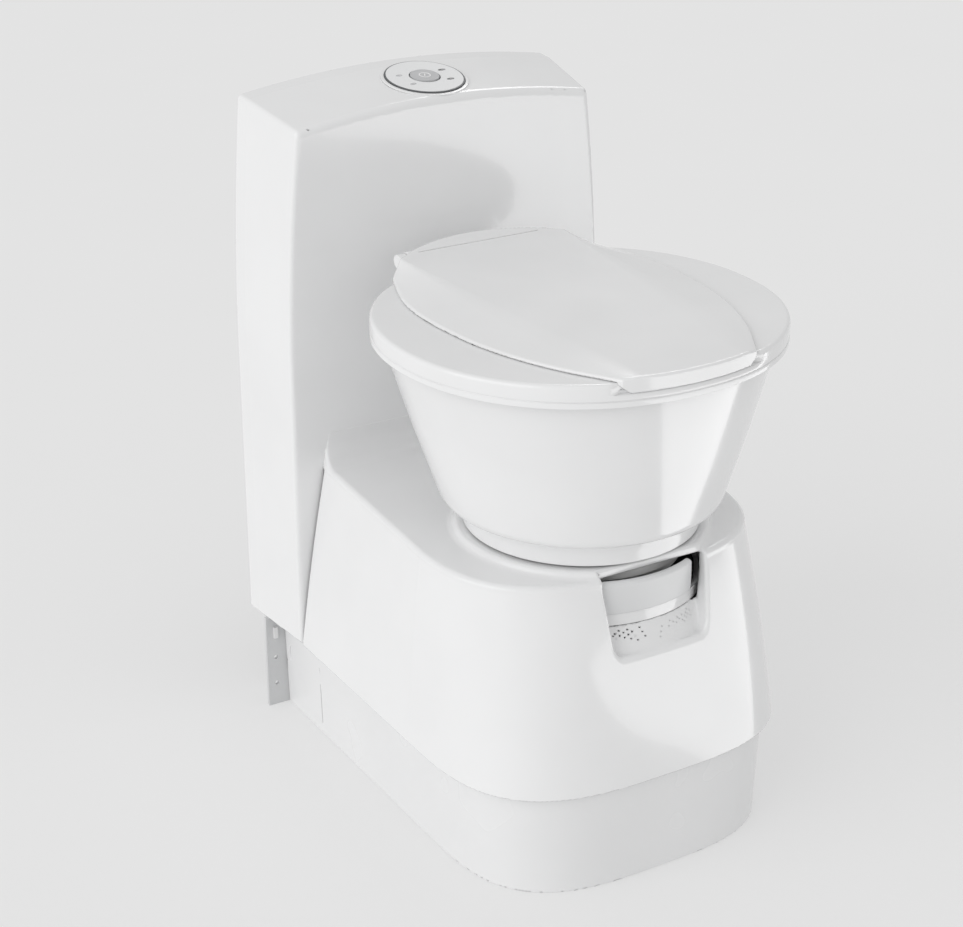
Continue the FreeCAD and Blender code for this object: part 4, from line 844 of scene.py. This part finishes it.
def lid_roof(x, y, z):
    top = np.interp(y, (LID_FRONT_Y, LID_REAR_Y), (LID_TOP_FRONT, LID_TOP_REAR))
    top = top + 0.08 * np.maximum(y - LID_REAR_Y, 0)
    inside = np.clip(y, LID_ALONG[0], LID_ALONG[-1])
    crease = curve_through(inside, CREASE_ALONG, CREASE_HALF)
    edge = curve_through(inside, LID_ALONG, LID_HALF)
    fall = (top - LID_EDGE_Z) / np.maximum(edge - crease, 6.0)
    bevel = (z - top + fall * (np.abs(x) - crease)) / np.sqrt(1 + fall ** 2)
    return round_meet(z - top, bevel, 1.5)


rear_edge = even(lid_rear)


def lid_rule(x, y, z):
    roof = lid_roof(x, y, z)
    side = lid_outline(x, y, z)
    front = seat_outline(x, y, z)
    rim = np.where(y < -180.0, np.maximum(side, front), side)
    plan = round_meet(rim, rear_edge(x, y, z), 4.0)
    body = round_meet(plan, roof, 2.2)
    under = np.where(y > LID_REAR_Y - 4.0, LID_TOP_REAR - 3.4, LID_UNDER)
    tray = round_meet(body, under - z, 0.8)
    hollow = np.maximum(plan + 4.0, roof + 3.4)
    tray = np.maximum(tray, -hollow)
    lip_half = LID_LIP_HALF - LIP_TAPER * np.clip((LID_UNDER - z) / (LID_UNDER - LID_LOW[2]), 0, 1)
    lip = np.maximum.reduce([np.abs(x) - lip_half, LID_LOW[2] - z, -4.4 - front, y + 200.0])
    lip = round_meet(body, lip, 1.2)
    ribs = np.abs(np.abs(x) - 60.0) - 1.4
    ribs = np.minimum(ribs, np.abs(x) - 1.4)
    ribs = np.maximum.reduce([ribs, roof + 2.0, LID_UNDER - z, y - 90.0, -230.0 - y])
    groove = np.maximum(np.hypot(y - LID_REAR_Y + 2.0, roof) - 0.8, np.abs(x) - 74.0)
    return np.maximum(np.minimum(np.minimum(tray, lip), ribs), -groove)


lid = carve("lid_moulding", lid_rule, (-156, -294, 544), (156, 142, 586), 1.5)
fit(lid, "lid", ["lid_shell"], GLOSS_WHITE)


# %% [markdown]
# ## The lever's handle
# A light grey bar curved round the neck: fingers push it sideways to open the blade. It is a slice of a
# thick ring with every edge softened, a little crowned across its face.

# %% Handle
HANDLE_LOW, HANDLE_HIGH = box_mm("blade_handle")
HANDLE_R, HANDLE_T = 131.3, 5.8
HANDLE_START, HANDLE_END = math.radians(-143.0), math.radians(-64.6)


def handle_rule(x, y, z):
    radius = np.hypot(x, y - AXIS_Y)
    middle_z = (HANDLE_LOW[2] + HANDLE_HIGH[2]) / 2
    half_z = (HANDLE_HIGH[2] - HANDLE_LOW[2]) / 2
    crown = 0.4 * (1 - ((z - middle_z) / half_z) ** 2)
    outer = radius - HANDLE_R + 0.4 - crown
    inner = HANDLE_R - HANDLE_T - radius
    tall = np.abs(z - middle_z) - half_z
    start = -(x * -math.sin(HANDLE_START) + (y - AXIS_Y) * math.cos(HANDLE_START))
    end = x * -math.sin(HANDLE_END) + (y - AXIS_Y) * math.cos(HANDLE_END)
    front = round_meet(tall, np.maximum(start, end), 5.0)
    top = round_meet(outer, z - HANDLE_HIGH[2], 5.4)
    return round_meet(round_meet(top, front, 1.6), inner, 0.8)


handle = carve("lever_handle", handle_rule, (-112, -236, 284), (62, -168, 330), 1.0)
fit(handle, "lever", ["blade_handle"], HANDLE_GREY)


# %% [markdown]
# ## The control panel
# A light grey disc sits in a thin dark ring on the sloping top of the console. In its middle is the flush
# button with a plain oval sign, and round it four small windows: two dark and two that only show when lit.
# Everything here is turned, so one helper carries a profile round the panel's own axis.

# %% Turned pieces on the slope
PANEL_COLUMNS = 96


def on_slope(points):
    c, s = math.cos(PANEL_TILT), math.sin(PANEL_TILT)
    x, y, z = np.asarray(points, float).T
    return np.stack([x, PANEL_Y + y * c - z * s, PANEL_Z + y * s + z * c], 1)


def turned_on_panel(name, profile, centre=(0.0, 0.0), stretch=1.0):
    """Carry a profile of (radius, height) round a point of the panel; its first and last radius may be 0."""
    turn = np.arange(PANEL_COLUMNS) * 2 * np.pi / PANEL_COLUMNS
    rows = [np.stack([centre[0] + stretch * max(r, 0.0) * np.cos(turn), centre[1] + max(r, 0.0) * np.sin(turn),
                      np.full(PANEL_COLUMNS, float(z))], 1) for r, z in profile]
    faces = []
    for r in range(len(rows) - 1):
        for c in range(PANEL_COLUMNS):
            n = (c + 1) % PANEL_COLUMNS
            faces.append((r * PANEL_COLUMNS + c, r * PANEL_COLUMNS + n, (r + 1) * PANEL_COLUMNS + n, (r + 1) * PANEL_COLUMNS + c))
    faces.append(tuple(range(PANEL_COLUMNS))[::-1])
    last = (len(rows) - 1) * PANEL_COLUMNS
    faces.append(tuple(last + c for c in range(PANEL_COLUMNS)))
    made = solid_mesh(name, on_slope(np.concatenate(rows)), faces)
    made.modifiers.new("even shading", "WEIGHTED_NORMAL")
    return made


def ring_on_panel(name, corners):
    """A closed ring from a closed profile of (radius, height, rounding)."""
    profile = rounded(corners, 4)
    turn = np.arange(PANEL_COLUMNS) * 2 * np.pi / PANEL_COLUMNS
    rows = [np.stack([r * np.cos(turn), r * np.sin(turn), np.full(PANEL_COLUMNS, float(z))], 1) for r, z in profile]
    faces = []
    for r in range(len(rows)):
        for c in range(PANEL_COLUMNS):
            n = (c + 1) % PANEL_COLUMNS
            after = (r + 1) % len(rows)
            faces.append((r * PANEL_COLUMNS + c, r * PANEL_COLUMNS + n, after * PANEL_COLUMNS + n, after * PANEL_COLUMNS + c))
    made = solid_mesh(name, on_slope(np.concatenate(rows)), faces)
    made.modifiers.new("even shading", "WEIGHTED_NORMAL")
    return made


bezel = ring_on_panel("panel_dark_ring", [(43.8, 0.3, 0.3), (43.8, 2.4, 0.4), (42.4, 2.5, 0.3), (42.4, 1.2, 0.1),
                                          (32.5, 1.2, 0.1), (32.5, -9.5, 0.2), (35.8, -9.5, 0.2), (35.8, 0.3, 0.1)])
fit(bezel, "toilet", ["control_bezel"], RING_GREY)
surround = ring_on_panel("panel_surround", [(47.6, -0.6, 0.2), (47.6, 0.9, 0.3), (44.1, 1.1, 0.4), (44.1, -0.6, 0.2)])
fit(surround, "toilet", [], GLOSS_WHITE)
pad = ring_on_panel("panel_pad", [(42.2, 1.25, 0.2), (42.2, 2.9, 0.6), (17.2, 3.0, 0.5), (17.2, -4.8, 0.2),
                                  (32.2, -4.8, 0.2), (32.2, 1.25, 0.1)])
fit(pad, "toilet", ["control_pad"], PAD_GREY)
button_profile = [(3.9, -6.6), (4.0, -2.4), (15.4, -2.3), (16.0, -1.8), (16.0, 3.3), (15.6, 4.0), (14.6, 4.3), (11.0, 4.05), (0.05, 3.9)]
button = turned_on_panel("flush_button_cap", button_profile)
fit(button, "button", ["flush_button"], BUTTON_GREY)

# %% Signs and windows
sign = ring_on_panel("button_sign_ring", [(6.6, 3.8, 0.05), (6.6, 4.32, 0.15), (5.3, 4.28, 0.15), (5.3, 3.8, 0.05)])
fit(sign, "button", [], GLYPH_WHITE)
BAR_TURN = math.radians(62.0)
bar = turned_on_panel("button_sign_bar", [(0.75, 3.8), (0.8, 4.2), (0.55, 4.34), (0.05, 4.34)], stretch=5.0)
bar_turn = np.array([v.co[:] for v in bar.data.vertices]) / MM
centre = on_slope([(0.0, 0.0, 0.0)])[0]
c, s = math.cos(PANEL_TILT), math.sin(PANEL_TILT)
flat = np.stack([bar_turn[:, 0], (bar_turn[:, 1] - centre[1]) * c + (bar_turn[:, 2] - centre[2]) * s,
                 (bar_turn[:, 2] - centre[2]) * c - (bar_turn[:, 1] - centre[1]) * s], 1)
spun = np.stack([flat[:, 0] * math.cos(BAR_TURN) - flat[:, 1] * math.sin(BAR_TURN),
                 flat[:, 0] * math.sin(BAR_TURN) + flat[:, 1] * math.cos(BAR_TURN), flat[:, 2]], 1)
bar.data.vertices.foreach_set("co", (on_slope(spun) * MM).ravel())
bar.data.update()
fit(bar, "button", [], GLYPH_WHITE)

WINDOW_TURNS = (-35, 20, 160, 215)
WINDOW_REACH = 28.0
for count, degrees in enumerate(WINDOW_TURNS):
    place = (WINDOW_REACH * math.cos(math.radians(degrees)), WINDOW_REACH * math.sin(math.radians(degrees)))
    profile = [(1.9, -3.0), (1.9, 2.9), (1.8, 3.25), (1.5, 3.4), (0.05, 3.45)]
    window = turned_on_panel(f"indicator_window_{count}", profile, place, 2.4 if count < 2 else 2.0)
    fit(window, "toilet", ["indicator_lights"], LENS_DARK if count < 2 else LENS_FAINT)


# %% [markdown]
# ## The pieces that keep their engineering shape
# Everything under the covers, and the tank that slides out at the back, already has its working shape. Those
# pieces only need a finish and slightly broken edges, since nothing moulded or turned has a knife edge.
# A small bevel that only acts on sharp corners does that.

# %% Finishes by node
FINISH_OF = {
    BASE_WHITE: ["housing_back"],
    FRAME_GREY: ["rear_frame"],
    TAB_WHITE: ["flange_tabs"],
    LINER_WHITE: ["bowl_liner", "bowl_sump", "bowl_rim"],
    GLOSS_WHITE: ["hinge_block", "support_deck"],
    INNER_WHITE: ["flush_tank", "bearing_ring", "throat_tube", "water_union_base", "water_union_ring", "bowl_hub",
                  "flush_nozzle", "tank_guides"],
    DARK_PLASTIC: ["filler_cap", "flush_pump", "water_inlet", "cable_gland", "fuse_holder", "lever_ring", "tank_rails",
                   "float_bracket"],
    CLEAR_HOSE: ["console_hoses", "bowl_hose"],
    LEAD_BLACK: ["pump_lead"],
    PLATED_STEEL: ["housing_screws", "axle_clips", "tank_axle"],
    SEAL_RUBBER: ["outlet_seal", "seat_buffers", "lid_buffers", "lip_seal"],
    TANK_BLACK: ["tank_shell", "blade_housing", "grip_bushes", "shelf_collars"],
    BLADE_CREAM: ["blade_plate"],
    WHEEL_GREY: ["wheel_left", "wheel_right"],
    GRIP_GREY: ["tank_grip"],
    SPOUT_GREY: ["pour_spout"],
    CAP_GREY: ["spout_cap"],
    VENT_GREEN: ["vent_button"],
    FLOAT_RED: ["tank_float"],
    BOARD_GREEN: ["control_board"],
}
for finish, names in FINISH_OF.items():
    for name in names:
        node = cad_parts[name]
        node.data.materials.clear()
        node.data.materials.append(finish)
        bevel = node.modifiers.new("broken edges", "BEVEL")
        bevel.width = 0.5 * MM
        bevel.segments = 2
        bevel.limit_method = "ANGLE"
        bevel.angle_limit = math.radians(40)
        bevel.harden_normals = True
print("engineering pieces finished", sum(len(n) for n in FINISH_OF.values()))


# %% [markdown]
# ## Floor, light and camera
# The toilet stands in a bright studio with an even pale floor. An even sky does most of the lighting, a
# broad sun from the left makes that side the brightest, and cards that only show in reflections put the
# long soft highlights on the gloss: one on the floor in front and one high at the back on the right. The
# floor glows a little, like a light table, so that only the shadow right under the plinth stays.

# %% Floor
BACKDROP = (0.50, 0.50, 0.50)
GLOW = 0.37


def backdrop_finish():
    finish, tree, shader, where = new_finish("studio_floor")
    grain = noise(tree, where, 3.0, 2.0)
    tree.links.new(tinted(tree, grain, BACKDROP, 0.004), shader.inputs["Base Color"])
    shader.inputs["Roughness"].default_value = 0.9
    shader.inputs["Specular IOR Level"].default_value = 0.0
    shader.inputs["Emission Color"].default_value = (1.0, 1.0, 1.0, 1.0)
    shader.inputs["Emission Strength"].default_value = GLOW
    return finish


floor_mesh = bpy.data.meshes.new("studio_floor")
FLOOR_REACH = 14.0
floor_mesh.from_pydata([(-FLOOR_REACH, -FLOOR_REACH, 0), (FLOOR_REACH, -FLOOR_REACH, 0),
                        (FLOOR_REACH, FLOOR_REACH, 0), (-FLOOR_REACH, FLOOR_REACH, 0)], [], [(0, 1, 2, 3)])
floor = bpy.data.objects.new("studio_floor", floor_mesh)
bpy.context.scene.collection.objects.link(floor)
floor.data.materials.append(backdrop_finish())
floor.location.z = -0.3 * MM

# %% World and lamps
SKY = 0.68
world = bpy.data.worlds.new("studio_air")
bpy.context.scene.world = world
world.use_nodes = True
world.node_tree.nodes["Background"].inputs["Color"].default_value = (1.0, 1.0, 1.0, 1)
world.node_tree.nodes["Background"].inputs["Strength"].default_value = SKY


def aimed(name, lamp, place, aim):
    made = bpy.data.objects.new(name, lamp)
    made.location = place
    made.rotation_mode = "QUATERNION"
    made.rotation_quaternion = (Vector(aim) - Vector(place)).to_track_quat("-Z", "Y")
    bpy.context.scene.collection.objects.link(made)
    return made


def gloss_card(name, place, aim, size, radiance):
    """A bright card that is only seen in reflections."""
    lamp = bpy.data.lights.new(name, "AREA")
    lamp.shape = "RECTANGLE"
    lamp.size, lamp.size_y = size
    lamp.energy = radiance * math.pi * size[0] * size[1]
    made = aimed(name, lamp, place, aim)
    made.visible_camera = False
    made.visible_diffuse = False
    return made


sun = bpy.data.lights.new("left_sun", "SUN")
sun.energy = 1.0
sun.angle = math.radians(60.0)
aimed("left_sun", sun, (-3.0, -0.5, 1.5), (0, 0, 0.3))
gloss_card("floor_card", (1.05, -1.5, 0.02), (1.05, -1.5, 1.0), (1.6, 2.3), 2.4)
gloss_card("back_card", (2.0, 1.85, 2.95), (0, 0.2, 0.7), (1.4, 1.15), 3.2)
print("lamps ready")

# %% Camera
SENSOR = 36.0
LENS = 79.917
ELEVATION = math.radians(23.7991)
AZIMUTH = math.radians(-30.8822)
camera_data = bpy.data.cameras.new("camera")
camera_data.sensor_width = SENSOR
camera_data.lens = LENS
camera = bpy.data.objects.new("camera", camera_data)
camera.location = (-1.11248, -1.75790, 1.27628)
back = Vector((math.sin(AZIMUTH) * math.cos(ELEVATION), -math.cos(AZIMUTH) * math.cos(ELEVATION), math.sin(ELEVATION)))
camera.rotation_mode = "QUATERNION"
camera.rotation_quaternion = (-back).to_track_quat("-Z", "Y")
bpy.context.scene.collection.objects.link(camera)
bpy.context.scene.camera = camera
bpy.context.scene.view_settings.view_transform = "Standard"
print("camera ready")
